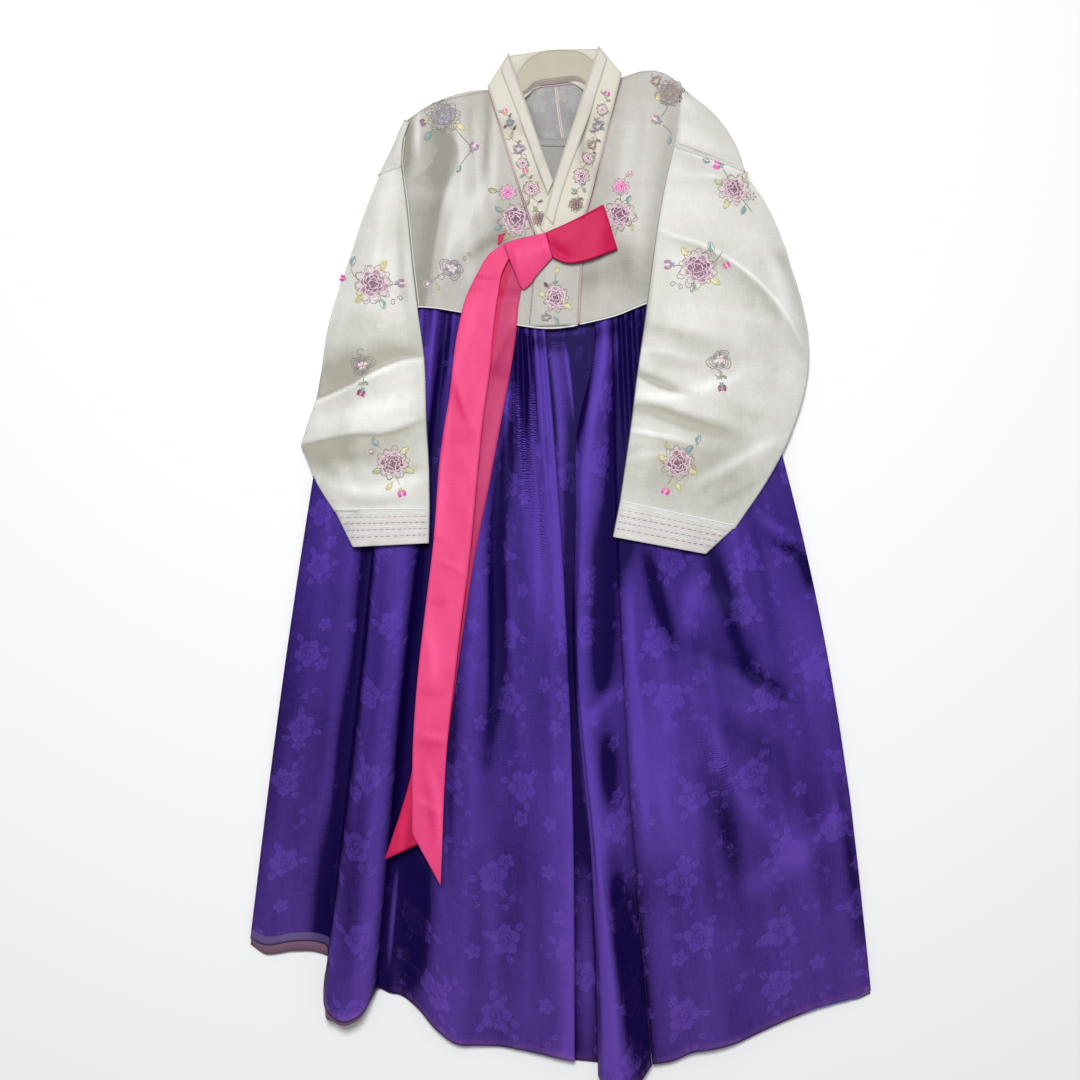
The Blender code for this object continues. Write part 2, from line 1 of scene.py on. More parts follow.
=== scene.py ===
"""Korean hanbok laid flat on its back: a cream jeogori with embroidered sleeves, collar and fronts, tied
with a hot pink ribbon, over a purple chima with a woven flower pattern.

Plans are in millimetres with +X towards the wearer's left and +Y towards the collar, and the meshes in
metres. Each cloth is a thin shell that lies on the form of its solid, with its finer folds added.
"""

import math

import bpy
import numpy as np
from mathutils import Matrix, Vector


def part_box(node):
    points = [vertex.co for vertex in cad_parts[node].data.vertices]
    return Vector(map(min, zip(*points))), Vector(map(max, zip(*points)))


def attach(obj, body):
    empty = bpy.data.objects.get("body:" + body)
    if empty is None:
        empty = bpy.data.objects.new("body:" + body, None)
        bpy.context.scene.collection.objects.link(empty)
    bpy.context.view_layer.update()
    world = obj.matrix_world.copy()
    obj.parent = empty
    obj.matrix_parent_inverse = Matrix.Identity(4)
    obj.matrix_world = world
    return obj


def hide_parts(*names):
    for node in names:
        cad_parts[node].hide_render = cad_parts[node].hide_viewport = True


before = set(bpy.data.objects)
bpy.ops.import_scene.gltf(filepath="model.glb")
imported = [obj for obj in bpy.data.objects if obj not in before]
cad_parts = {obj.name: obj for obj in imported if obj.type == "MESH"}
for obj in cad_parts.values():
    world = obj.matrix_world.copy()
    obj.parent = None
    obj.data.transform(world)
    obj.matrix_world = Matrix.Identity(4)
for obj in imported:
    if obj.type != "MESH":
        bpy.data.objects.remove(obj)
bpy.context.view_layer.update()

MM = 0.001
SEOP_CORNER = np.array([-40.0, 304.0])  # on the plan
SHIFT = np.array(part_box("seop_outer")[0][:2]) / MM - SEOP_CORNER  # from the plan to the world
WALL = 1.2  # of the solids
SEAM = 0.3  # gap between the solids of two pieces of cloth
SKIN = 0.4  # depth of a cloth's face beneath the top of its solid
CLOTH, STIFF = 0.35, 0.6  # thickness of one layer of organza, and of a collar, an edging or a cuff
CELL = 2.0  # of a relief
MARGIN = 24.0  # by which a relief is carried past its cloth's edges
NOISE_CELLS = 64
FOLD_STEPS = 20
WAIST_Y, SKIRT_LENGTH = 400, 1040


# ---------------------------------------------------------------- curves, grids and folds


def curve(at, knots, values):
    """A smooth curve through values at the knots: cubic pieces whose slope at each knot is that of the
    chord between its neighbours."""
    knots, values = np.asarray(knots, float), np.asarray(values, float)
    if len(knots) > 2:
        slope = np.gradient(values, knots, axis=0)
    else:
        slope = np.repeat(np.diff(values, axis=0) / np.diff(knots)[0], 2, axis=0)
    span = np.clip(np.searchsorted(knots, at, side="right") - 1, 0, len(knots) - 2)
    length = knots[span + 1] - knots[span]
    t = (at - knots[span]) / length
    if values.ndim > 1:
        t, length = t[:, None], length[:, None]
    return (
        (2 * t**3 - 3 * t**2 + 1) * values[span]
        + (t**3 - 2 * t**2 + t) * length * slope[span]
        + (3 * t**2 - 2 * t**3) * values[span + 1]
        + (t**3 - t**2) * length * slope[span + 1]
    )


def along(points, count):
    """Evenly spaced points on the smooth curve through these, measured by the distance along its chords."""
    points = np.asarray(points, float)
    chord = np.concatenate([[0], np.cumsum(np.linalg.norm(np.diff(points, axis=0), axis=1))])
    return curve(np.linspace(0, chord[-1], count), chord, points)


def blended(top, bottom, left, right):
    """Plan of a panel from the points of its four edges: each point is blended from the two edges across
    and the two edges along, less the blend of the four corners."""
    down = np.linspace(0, 1, len(left))[:, None, None]
    across = np.linspace(0, 1, len(top))[None, :, None]
    start = (1 - down) * top[0] + down * bottom[0]
    end = (1 - down) * top[-1] + down * bottom[-1]
    across_rows = (1 - down) * top + down * bottom
    return across_rows + (1 - across) * (left[:, None] - start) + across * (right[:, None] - end)


def between(top, bottom, left, right, rows, columns):
    """Plan of a panel whose four edges are smooth curves through these points."""
    return blended(along(top, columns), along(bottom, columns), along(left, rows), along(right, rows))


def ruled(left, right, rows, columns):
    """Plan of a strip whose rows run straight from its left edge to its right edge, with this many even
    columns or with columns at these shares of the way."""
    across = np.asarray(np.linspace(0, 1, columns) if isinstance(columns, int) else columns)[None, :, None]
    return along(left, rows)[:, None] * (1 - across) + along(right, rows)[:, None] * across


def raised(plan, height):
    """The plan's points with a height each."""
    return np.concatenate([plan, np.broadcast_to(height, plan.shape[:-1])[..., None]], axis=-1)


def noise(x, y, seed):
    """Smooth random hills between -1 and 1: the values of a random grid, blended between its points with
    an eased curve."""
    values = np.random.default_rng(seed).uniform(-1, 1, (NOISE_CELLS, NOISE_CELLS))
    x, y = np.broadcast_arrays(x, y)
    column, row = np.floor(x).astype(int), np.floor(y).astype(int)
    s, t = x - column, y - row
    s, t = s * s * (3 - 2 * s), t * t * (3 - 2 * t)
    left, right = column % NOISE_CELLS, (column + 1) % NOISE_CELLS
    near, far = (
        values[ahead, left] * (1 - s) + values[ahead, right] * s
        for ahead in (row % NOISE_CELLS, (row + 1) % NOISE_CELLS)
    )
    return near * (1 - t) + far * t


def fold(plan, path, width, height, lean=0.0):
    """Height of a soft fold along a path, or of a valley where height is negative: a bell curve over the
    distance from the path, faded towards both ends. Lean makes the flank on the path's left wider, and a
    strong lean makes a crisp crease with one steep side."""
    line = along(path, FOLD_STEPS)
    nearest = np.full(plan.shape[:-1], np.inf)
    side, share = np.zeros_like(nearest), np.zeros_like(nearest)
    for i, (start, end) in enumerate(zip(line[:-1], line[1:])):
        step = end - start
        t = np.clip((plan - start) @ step / (step @ step), 0, 1)
        away = plan - start - t[..., None] * step
        gap = np.linalg.norm(away, axis=-1)
        closer = gap < nearest
        nearest = np.where(closer, gap, nearest)
        side = np.where(closer, np.sign(step[0] * away[..., 1] - step[1] * away[..., 0]), side)
        share = np.where(closer, (i + t) / (len(line) - 1), share)
    fade = np.sin(math.pi * np.clip(share, 0.03, 0.97)) ** 0.6
    return height * fade * np.exp(-((nearest / (width * (1 + lean * side))) ** (2 - 0.8 * abs(lean))))


def folds(plan, table):
    """Sum of a table's folds."""
    return sum(fold(plan, *row) for row in table)


# ---------------------------------------------------------------- reliefs


def relief(corners, reach=6.0, lowest=False):
    """Height field of a set of triangles, from points spread closely over them: the highest or the lowest
    in each cell, carried outwards past their edges, and softened by a mean within reach."""
    sign = -1 if lowest else 1
    low = corners[..., :2].min(axis=(0, 1)) - MARGIN
    size = np.ceil((corners[..., :2].max(axis=(0, 1)) + MARGIN - low) / CELL).astype(int) + 2
    field = np.full(size, -np.inf)
    longest = np.linalg.norm(corners - np.roll(corners, 1, axis=1), axis=2).max()
    steps = int(longest / (1.1 * CELL)) + 2
    for i in range(steps + 1):
        for j in range(steps + 1 - i):
            a, b = i / steps, j / steps
            spot = corners[:, 0] * (1 - a - b) + corners[:, 1] * a + corners[:, 2] * b
            cell = ((spot[:, :2] - low) / CELL).astype(int)
            np.maximum.at(field, (cell[:, 0], cell[:, 1]), sign * spot[:, 2])
    for _ in range(round(MARGIN / CELL)):
        empty = np.isinf(field)
        shifted = [np.roll(field, step, axis) for axis in (0, 1) for step in (-1, 1)]
        known = [np.where(np.isinf(s), 0, s) for s in shifted]
        count = sum(~np.isinf(s) for s in shifted)
        field = np.where(empty & (count > 0), sum(known) / np.maximum(count, 1), field)
    field = np.where(np.isinf(field), field[~np.isinf(field)].mean(), field)
    return softened(sign * field, reach), low


def softened(field, reach):
    """The field averaged over a square within reach, twice, so that it slopes without steps."""
    steps = int(round(reach / CELL / 2))
    for axis in (0, 1, 0, 1):
        padded = np.pad(field, [(steps, steps) if a == axis else (0, 0) for a in (0, 1)], mode="edge")
        shifts = [np.take(padded, np.arange(i, i + field.shape[axis]), axis) for i in range(2 * steps + 1)]
        field = np.mean(shifts, axis=0)
    return field


def height_on(field_and_low, plan):
    """Height of a relief at each point of a plan, blended between its cells."""
    field, low = field_and_low
    at = (plan - low) / CELL - 0.5
    cell = np.clip(np.floor(at).astype(int), 0, np.array(field.shape) - 2)
    s, t = np.moveaxis(np.clip(at - cell, 0, 1), -1, 0)
    i, j = np.moveaxis(cell, -1, 0)
    near = field[i, j] * (1 - s) + field[i + 1, j] * s
    far = field[i, j + 1] * (1 - s) + field[i + 1, j + 1] * s
    return near * (1 - t) + far * t


def triangles_of(points, faces):
    """Corners of the triangles of a mesh of quads."""
    return points[np.concatenate([faces[:, :3], faces[:, [0, 2, 3]]])]


def solid_corners(name):
    """Corners of a solid's triangles, on the plan."""
    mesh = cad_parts[name].data
    mesh.calc_loop_triangles()
    points = np.empty(len(mesh.vertices) * 3)
    mesh.vertices.foreach_get("co", points)
    faces = np.empty(len(mesh.loop_triangles) * 3, int)
    mesh.loop_triangles.foreach_get("vertices", faces)
    points = points.reshape(-1, 3) / MM - np.array([*SHIFT, 0])
    return points[faces.reshape(-1, 3)]


def top_of(name, plan, reach=6.0):
    """Height of a cloth's face on its solid."""
    return height_on(relief(solid_corners(name), reach), plan) - SKIN


def under_of(name, plan, reach=6.0):
    """Height of the inner face of a tube's lower layer on its solid."""
    return height_on(relief(solid_corners(name), reach, lowest=True), plan) + SKIN


# ---------------------------------------------------------------- pieces


def quads_between(index):
    """Faces between the neighbours in a grid of point numbers whose rows run down and whose columns run to
    the right, so that they face up."""
    return np.stack([index[:-1, :-1], index[1:, :-1], index[1:, 1:], index[:-1, 1:]], axis=-1).reshape(-1, 4)


def quads_of(rows, columns, ring=False):
    """Faces of a grid of points numbered row by row; the last column joins the first on a ring."""
    index = np.arange(rows * columns).reshape(rows, columns)
    return quads_between(np.concatenate([index, index[:, :1]], axis=1) if ring else index)


laid = {}  # corners of each cloth's triangles, for what is sewn onto it


def ground_of(names, reach=2.0):
    """The relief of these cloths' faces together."""
    return relief(np.concatenate([laid[name] for name in names]), reach)


def shell(name, points, faces, pattern, finish, thickness=0.0, kinds=None, depth=None, rippled=None):
    """A mesh from points, faces and a place on the weaving pattern for each point, all in millimetres, made
    a shell of the given thickness beneath its face. Depth sets the painted shade and highlight: 0 on a
    crest, painted lightest, a half where it is flat and 1 in a hollow, painted darkest, and bands of
    painted shade or highlight may be added to it. Rippled says how strongly two layers of the sheer cloth
    show light ripples there."""
    points, faces = np.asarray(points, float).reshape(-1, 3), np.asarray(faces)
    if thickness:
        laid[name] = triangles_of(points, faces)
    points = points + np.array([*SHIFT, 0])
    mesh = bpy.data.meshes.new(name)
    mesh.vertices.add(len(points))
    mesh.vertices.foreach_set("co", (points * MM).ravel())
    mesh.loops.add(faces.size)
    mesh.loops.foreach_set("vertex_index", faces.ravel())
    mesh.polygons.add(len(faces))
    mesh.polygons.foreach_set("loop_start", np.arange(0, faces.size, faces.shape[1]))
    mesh.polygons.foreach_set("use_smooth", np.ones(len(faces), bool))
    for one in finish if isinstance(finish, (list, tuple)) else [finish]:
        mesh.materials.append(one)
    if kinds is not None:
        mesh.polygons.foreach_set("material_index", kinds)
    pattern = np.asarray(pattern, float).reshape(-1, 2)
    mesh.uv_layers.new(name="cloth").data.foreach_set("uv", pattern[faces.ravel()].ravel())
    depth = np.full(len(points), 0.5) if depth is None else np.asarray(depth, float).ravel()
    rippled = 0 * depth if rippled is None else np.asarray(rippled, float).ravel()
    # The layers map carries the painted shade and highlight (depth) and the ripples.
    layers = np.stack([depth, rippled], axis=1)[faces.ravel()]
    mesh.uv_layers.new(name="layers").data.foreach_set("uv", layers.ravel())
    mesh.update(calc_edges=True)
    obj = bpy.data.objects.new(name, mesh)
    bpy.context.scene.collection.objects.link(obj)
    if thickness:
        wall = obj.modifiers.new("thickness", "SOLIDIFY")
        wall.thickness = thickness * MM
        wall.offset = -1
    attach(obj, "root")
    return obj


def panel(name, node_name, points, finish, pattern=None, thickness=CLOTH, **more):
    """A grid of points made a shell in place of a node."""
    pattern = points[..., :2] if pattern is None else pattern
    obj = shell(name, points, quads_of(*points.shape[:2]), pattern, finish, thickness, **more)
    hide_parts(node_name)
    return obj


def laid_panel(name, node_name, plan, finish, reach=6.0, thickness=CLOTH):
    """A smooth panel that lies on the top of its solid."""
    return panel(name, node_name, raised(plan, top_of(node_name, plan, reach)), finish, thickness=thickness)


def depth_in_folds(points, cloths, reach, full, shade_bands=()):
    """How deep each point lies in the folds of these cloths, for painted shade in their hollows and painted
    highlight on their crests: its height is set against the mean of their faces within reach, and full
    millimetres below that mean count as 1. The last argument is a table like that of folds, of bands of
    painted shade, or of painted highlight where negative; in places they also stand for more layers of the
    sheer cloth beneath."""
    corners = [triangles_of(c.reshape(-1, 3), quads_of(*c.shape[:2])) for c in cloths]
    around = height_on(relief(np.concatenate(corners), reach), points[..., :2])
    deep = np.clip((around - points[..., 2]) / (2 * full), -0.3, 0.4)
    return np.clip(0.5 + deep + folds(points[..., :2], shade_bands) / 2, 0, 1)


EDGE = 4.0  # over which a pressed tube rounds off at its edges


def pressed_tube(name, node_name, inner, outer, rows, columns, finish, table=(), shade_bands=(),
                 thickness=CLOTH, under_turn=0.0, full=3.5, joined=None):
    """A tube pressed flat: the upper layer lies on the top of its solid with its folds added, the lower
    layer on the solid's underside, and the two meet in a quarter round at each edge. Joined names a tube
    beneath whose end the first rows start."""
    even = np.linspace(0, 1, columns)
    shares = 0.65 * even + 0.35 * (0.5 - 0.5 * np.cos(math.pi * even))
    plan = ruled(inner, outer, rows, shares)
    tucked = np.exp(-((np.arange(rows)[:, None] / 1.6) ** 2)) * under_turn
    top, under = top_of(node_name, plan) + folds(plan, table) - tucked, under_of(node_name, plan)
    if joined:
        beneath = height_on(ground_of([joined]), plan) - STIFF - 0.3 * np.arange(rows)[:, None]
        top = np.maximum(top, beneath)
    width = np.linalg.norm(plan[:, -1] - plan[:, 0], axis=-1)[:, None]
    near = np.clip(np.minimum(shares, 1 - shares) * width / EDGE, 0, 1)
    bulge = np.sqrt(1 - (1 - near) ** 2)
    middle = under + 0.2 * (top - under)
    upper = raised(plan, middle + (np.maximum(top, under + 1) - middle) * bulge)
    lower = raised(plan, middle + (under - middle) * bulge)[:, 1:-1][:, ::-3]
    ring = np.concatenate([upper, lower], axis=1)
    # Painted highlight: the rounded edges and the lower layer take a lighter tone than the flat middle, which
    # they reach a few millimetres in; the painted shade and highlight of the folds and listed bands go on the
    # upper layer.
    depth = np.full(ring.shape[:2], 0.2)
    inside = np.clip(near / 2, 0, 1) * np.clip(np.minimum(shares, 1 - shares) * width / 16, 0, 1)
    in_folds = (depth_in_folds(upper, [upper], reach=24.0, full=full) - 0.5) * inside ** 0.5
    depth[:, : upper.shape[1]] = np.clip(0.2 + 0.3 * near + in_folds + folds(plan, shade_bands) / 2, 0, 1)
    faces = quads_of(*ring.shape[:2], ring=True)
    faces = faces[:, ::-1] if inner[0][0] > outer[0][0] else faces
    obj = shell(name, ring, faces, ring[..., :2], finish, thickness, depth=depth)
    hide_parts(node_name)
    return obj


# ---------------------------------------------------------------- materials


def linear(code):
    """An sRGB hex colour as linear red, green, blue and 1."""
    parts = [int(code[i : i + 2], 16) / 255 for i in (1, 3, 5)]
    return (*[c / 12.92 if c <= 0.04045 else ((c + 0.055) / 1.055) ** 2.4 for c in parts], 1.0)


def node(tree, kind, settings=(), **sockets):
    """Adds a node to a tree, with its settings and its sockets, each a value or an output to link from.
    A socket's key is its name with underscores, or its index after the letter i."""
    made = tree.nodes.new(kind)
    for key, value in dict(settings).items():
        setattr(made, key, value)
    for key, value in sockets.items():
        at = int(key[1:]) if key[0] == "i" and key[1:].isdigit() else key.replace("_", " ")
        if isinstance(value, bpy.types.NodeSocket):
            tree.links.new(value, made.inputs[at])
        else:
            made.inputs[at].default_value = value
    return made


def worked(tree, known, steps):
    """Runs a table of sums as Math nodes. Each row names its result, its operation and its operands, which
    are numbers or the names of earlier results."""
    for name, operation, *operands in steps:
        values = {f"i{i}": known[v] if isinstance(v, str) else v for i, v in enumerate(operands)}
        known[name] = node(tree, "ShaderNodeMath", {"operation": operation}, **values).outputs[0]
    return known


# Woven figures, from the place beside the centre of each, as the distance inside their outline: a rose of
# five petals with three leaves, and a small blossom or a sprig of leaves on both sides of a stem.
ROSE, BLOSSOM = 23.0, 12.5  # radius in millimetres
FIVE_PETALS = [
    ("turn", "MULTIPLY", "red", 6.283),
    ("bearing", "ARCTAN2", "dy", "dx"),
    ("angle", "ADD", "bearing", "turn"),
    ("petal_angle", "MULTIPLY", "angle", 2.5),
    ("petal_wave", "COSINE", "petal_angle"),
    ("petal", "ABSOLUTE", "petal_wave"),
]
ROSE_FIGURE = FIVE_PETALS + [
    ("ruffle_angle", "MULTIPLY", "angle", 15.0),
    ("ruffle", "SINE", "ruffle_angle"),
    ("swell", "MULTIPLY_ADD", "petal", 0.26 * ROSE, 0.66 * ROSE),
    ("edge", "MULTIPLY_ADD", "ruffle", 0.03 * ROSE, "swell"),
    ("full", "SUBTRACT", "edge", "radius"),
    ("swirl_a", "MULTIPLY", "radius", 0.8),
    ("swirl_b", "MULTIPLY_ADD", "angle", 2.0, "swirl_a"),
    ("swirl_c", "SINE", "swirl_b"),
    ("swirl_d", "MULTIPLY_ADD", "swirl_c", 0.7, 0.8),
    ("vein", "MULTIPLY_ADD", "petal", 6.0, -0.1),
    ("outer", "GREATER_THAN", "radius", 0.34 * ROSE),
    ("inner", "SUBTRACT", 1.0, "outer"),
    ("vein_seen", "ADD", "vein", "inner"),
    ("swirl_seen", "ADD", "swirl_d", "outer"),
    ("lines", "MINIMUM", "swirl_seen", "vein_seen"),
    ("rim_at", "SUBTRACT", "radius", 0.4 * ROSE),
    ("rim_off", "ABSOLUTE", "rim_at"),
    ("lined", "MINIMUM", "lines", "rim_off"),
    ("rose", "MINIMUM", "full", "lined"),
    ("leaf_angle", "MULTIPLY", "angle", 1.5),
    ("leaf_sine", "SINE", "leaf_angle"),
    ("leaf_side", "ABSOLUTE", "leaf_sine"),
    ("leaf_off", "MULTIPLY", "leaf_side", "radius"),
    ("leaf_at", "MULTIPLY_ADD", "radius", math.pi / (0.72 * ROSE), -math.pi * 0.8 / 0.72),
    ("leaf_in", "MAXIMUM", "leaf_at", 0.0),
    ("leaf_on", "MINIMUM", "leaf_in", math.pi),
    ("leaf_wide", "SINE", "leaf_on"),
    ("leaf_edge", "MULTIPLY_ADD", "leaf_wide", 7.2, -0.2),
    ("leaf_depth", "SUBTRACT", "leaf_edge", "leaf_off"),
    ("leaf_vein", "SUBTRACT", "leaf_off", 0.2),
    ("leaf", "MINIMUM", "leaf_depth", "leaf_vein"),
    ("figure", "MAXIMUM", "rose", "leaf"),
]
SMALL_FIGURE = FIVE_PETALS + [
    # blossom
    ("swell", "MULTIPLY_ADD", "petal", 0.42 * BLOSSOM, 0.5 * BLOSSOM),
    ("full", "SUBTRACT", "swell", "radius"),
    ("eye_at", "SUBTRACT", "radius", 0.24 * BLOSSOM),
    ("eye", "ABSOLUTE", "eye_at"),
    ("blossom", "MINIMUM", "full", "eye"),
    # sprig: pairs of leaves along a stem
    ("run", "COSINE", "angle"),
    ("run_mm", "MULTIPLY", "run", "radius"),
    ("rise", "SINE", "angle"),
    ("rise_mm", "MULTIPLY", "rise", "radius"),
    ("bent", "MULTIPLY", "run_mm", "run_mm"),
    ("arched", "MULTIPLY_ADD", "bent", 0.012, "rise_mm"),
    ("leaf_at", "MULTIPLY", "run_mm", math.pi / 13.0),
    ("leaf_wave", "SINE", "leaf_at"),
    ("leaf_sign", "SIGN", "leaf_wave"),
    ("leaf_wide", "ABSOLUTE", "leaf_wave"),
    ("leaf_edge", "MULTIPLY_ADD", "leaf_wide", 4.6, -0.4),
    ("leaf_side", "MULTIPLY_ADD", "leaf_sign", -4.4, "arched"),
    ("leaf_off", "ABSOLUTE", "leaf_side"),
    ("leaf_full", "SUBTRACT", "leaf_edge", "leaf_off"),
    ("leaf_vein", "SUBTRACT", "leaf_off", 0.1),
    ("leaf", "MINIMUM", "leaf_full", "leaf_vein"),
    ("stem_off", "ABSOLUTE", "arched"),
    ("stem", "SUBTRACT", 0.8, "stem_off"),
    ("long", "MAXIMUM", "leaf", "stem"),
    ("end", "SUBTRACT", 19.5, "radius"),
    ("sprig", "MINIMUM", "long", "end"),
    # one of the two in each place
    ("is_sprig", "GREATER_THAN", "green", 0.45),
    ("is_blossom", "SUBTRACT", 1.0, "is_sprig"),
    ("sprig_here", "MULTIPLY_ADD", "is_blossom", -30.0, "sprig"),
    ("blossom_here", "MULTIPLY_ADD", "is_sprig", -30.0, "blossom"),
    ("figure", "MAXIMUM", "sprig_here", "blossom_here"),
]


def woven_figures(tree, place, spacing):
    """Scatters roses over a cloth, one in each cell of a grid of random points this many millimetres apart,
    and the smaller figures closer together, each turned its own way."""
    found = []
    vector = "ShaderNodeVectorMath"
    for table, apart, offset in ((ROSE_FIGURE, spacing, 0.0), (SMALL_FIGURE, 0.58 * spacing, 31.0)):
        at = node(tree, vector, {"operation": "ADD"}, i0=place, i1=(offset, 0.7 * offset, 0)).outputs[0]
        flat = {"voronoi_dimensions": "2D"}
        cells = node(tree, "ShaderNodeTexVoronoi", flat, Vector=at, Scale=1 / apart, Randomness=0.5)
        beside = node(tree, vector, {"operation": "SUBTRACT"}, i0=at, i1=cells.outputs["Position"])
        parts = node(tree, "ShaderNodeSeparateXYZ", Vector=beside.outputs[0])
        length = node(tree, vector, {"operation": "LENGTH"}, i0=beside.outputs[0])
        chance = node(tree, "ShaderNodeSeparateColor", Color=cells.outputs["Color"])
        known = {
            "dx": parts.outputs[0],
            "dy": parts.outputs[1],
            "radius": length.outputs["Value"],
            "red": chance.outputs[0],
            "green": chance.outputs[1],
        }
        found.append(worked(tree, known, table)["figure"])
    steps = [
        ("most", "MAXIMUM", "roses", "others"),
        ("low", "MAXIMUM", "most", 0.0),
        ("seen", "MINIMUM", "low", 1.0),
    ]
    return worked(tree, {"roses": found[0], "others": found[1]}, steps)["seen"]


def fresh(name):
    """A new material with its tree, its shader and the place of each point on the cloth, in millimetres."""
    made = bpy.data.materials.new(name)
    made.use_nodes = True
    tree = made.node_tree
    place = node(tree, "ShaderNodeUVMap", {"uv_map": "cloth"}).outputs[0]
    return made, tree, tree.nodes["Principled BSDF"], place


def slubs(tree, place, across, down, detail=2.0):
    """Uneven threads: noise stretched along the threads, the given millimetres across and down them."""
    at = node(tree, "ShaderNodeMapping", Vector=place, Scale=(1 / across, 1 / down, 1)).outputs[0]
    sockets = {"Vector": at, "Scale": 1.0, "Detail": detail, "Roughness": 0.55}
    return node(tree, "ShaderNodeTexNoise", {"noise_dimensions": "2D"}, **sockets).outputs[0]


def organza(name, dark, light, figure=0.0, figure_size=75.0, roughness=0.5, gloss="#ffffff", alpha=1.0,
            streak=0.16, folded=0.5, shine=0.35, lined=""):
    """Silk organza: crisp plain-weave cloth of fine twisted threads with a tone-on-tone woven pattern. It
    gives the eye a soft silky gloss, faint uneven threads both ways, figures a little lighter than the
    ground, painted shade in the hollows of folds and painted highlight on their crests, as strong as
    folded says, and light ripples where the threads of two layers cross. Real threads are 0.1 mm apart,
    too fine to show, so they are drawn 1 to 3 mm apart. A skirt's organza takes on the colour of its lining
    from half-way down, most at its hem."""
    made, tree, shader, place = fresh(name)
    warp = slubs(tree, place, 1.5, 26)
    weft = slubs(tree, place, 24, 1.3)
    # The layers map holds the painted shade and highlight, and the ripples.
    layers = node(tree, "ShaderNodeUVMap", {"uv_map": "layers"}).outputs[0]
    known = {
        "warp": warp,
        "weft": weft,
        "broad": slubs(tree, place, 60, 150, 3.0),
        "depth": node(tree, "ShaderNodeSeparateXYZ", Vector=layers).outputs[0],
        "rippled": node(tree, "ShaderNodeSeparateXYZ", Vector=layers).outputs[1],
        "ripple": node(
            tree,
            "ShaderNodeTexWave",
            {"wave_type": "BANDS", "bands_direction": "Y"},
            Vector=place,
            Scale=0.098,  # a ripple every 3.2 mm
            Distortion=7.0,
            Detail=1.0,
            **{"Detail Scale": 1.1},
        ).outputs[1],
    }
    steps = [
        ("threads", "ADD", "warp", "weft"),
        ("uneven", "MULTIPLY_ADD", "threads", streak, -streak),
        ("cloudy", "MULTIPLY_ADD", "broad", 0.3, 0.35),
        ("ground", "ADD", "uneven", "cloudy"),
        # painted shade and highlight: the tone darkens with depth in the folds and lightens on their crests
        ("height", "MULTIPLY_ADD", "depth", -2 * folded, folded),
        ("plain", "ADD", "ground", "height"),
        ("crossed", "MULTIPLY_ADD", "ripple", 2.2, -2.0),
        ("marks", "MULTIPLY_ADD", "warp", 1.6, "crossed"),
        ("tone", "MULTIPLY_ADD", "marks", "rippled", "plain"),
    ]
    tone = worked(tree, known, steps)["tone"]
    if figure:
        known = {"tone": tone, "pattern": woven_figures(tree, place, figure_size)}
        tone = worked(tree, known, [("figured", "MULTIPLY_ADD", "pattern", figure, "tone")])["figured"]
    mixed = "ShaderNodeMix", {"data_type": "RGBA"}
    mix = node(tree, *mixed, i0=tone, i6=linear(dark), i7=linear(light))
    if lined:
        known = {"y": node(tree, "ShaderNodeSeparateXYZ", Vector=place).outputs[1], "tone": tone}
        steps = [
            ("down", "MULTIPLY_ADD", "y", -2.0 / SKIRT_LENGTH, -1.0),
            ("below", "MAXIMUM", "down", 0.0),
            ("hem", "MULTIPLY_ADD", "down", 45.0, -44.0),
            ("edge", "MAXIMUM", "hem", 0.0),
            ("soft", "MULTIPLY", "edge", 0.3),
            ("seen", "MULTIPLY_ADD", "below", 0.09, "soft"),
            ("lit", "MULTIPLY_ADD", "tone", 0.8, 0.2),
            ("share", "MULTIPLY", "seen", "lit"),
        ]
        share = worked(tree, known, steps)["share"]
        mix = node(tree, *mixed, i0=share, i6=mix.outputs[2], i7=linear(lined))
    tree.links.new(mix.outputs[2], shader.inputs["Base Color"])
    both = worked(tree, {"warp": warp, "weft": weft}, [("both", "ADD", "warp", "weft")])["both"]
    bump = node(tree, "ShaderNodeBump", Height=both, Strength=0.12, Distance=0.0006)
    tree.links.new(bump.outputs[0], shader.inputs["Normal"])
    shader.inputs["Roughness"].default_value = roughness
    shader.inputs["Specular IOR Level"].default_value = shine
    shader.inputs["Specular Tint"].default_value = linear(gloss)
    shader.inputs["Alpha"].default_value = alpha
    return made


# Fronts and gusset of the jacket over what lies beneath them: greyish, with soft painted shade in the hollows
# of folds.
cream = organza("cream silk organza", "#8e8b80", "#d4d1cb", 0.05, roughness=0.6, folded=0.7)
# Sleeves, the turns of the back and the armhole seams: two layers, brighter and a little glossier.
cream_sleeve = organza("cream silk organza, two layers", "#a7a496", "#e8e8e4", 0.07, roughness=0.45,
                       folded=0.7)
# One layer alone inside the neck, and the bodice's binding there: dull and cool from the floor showing
# through, and dark from painted shade inside the neck, with its woven figures plain to see.
cream_inside_shaded = organza("cream silk organza, single layer", "#777478", "#a5a2a1", 0.3)
# Collar bands: firmer and warmer, nearly without folds.
collar_band = organza("cream collar band", "#b8b2a2", "#e0dccf", folded=0.3)
# Edging of the collar: stiff, pale and even, like paper.
paper_white = organza("starched collar edging", "#bab2a6", "#dbd5cb", folded=0.3)
# Facing at the neck: the same, in the collar's own shade.
neck_facing = organza("starched neck facing", "#a49e89", "#bdb7a1", folded=0.4)
# Bodice: matt white cotton, painted grey with the shade inside the neck, where it is seen.
cotton = organza("white cotton", "#8f8e8b", "#afada9", roughness=0.85)
# Cuffs: several stitched layers, so dense and neutral.
cuff_white = organza("cream silk organza, cuff", "#b1aeaa", "#e4e1dd")
# Hem at the left corner: the purple turned greyish by the lining beneath it.
purple_hem = organza("purple silk organza over its lining", "#463667", "#746093", roughness=0.45, shine=0.2)
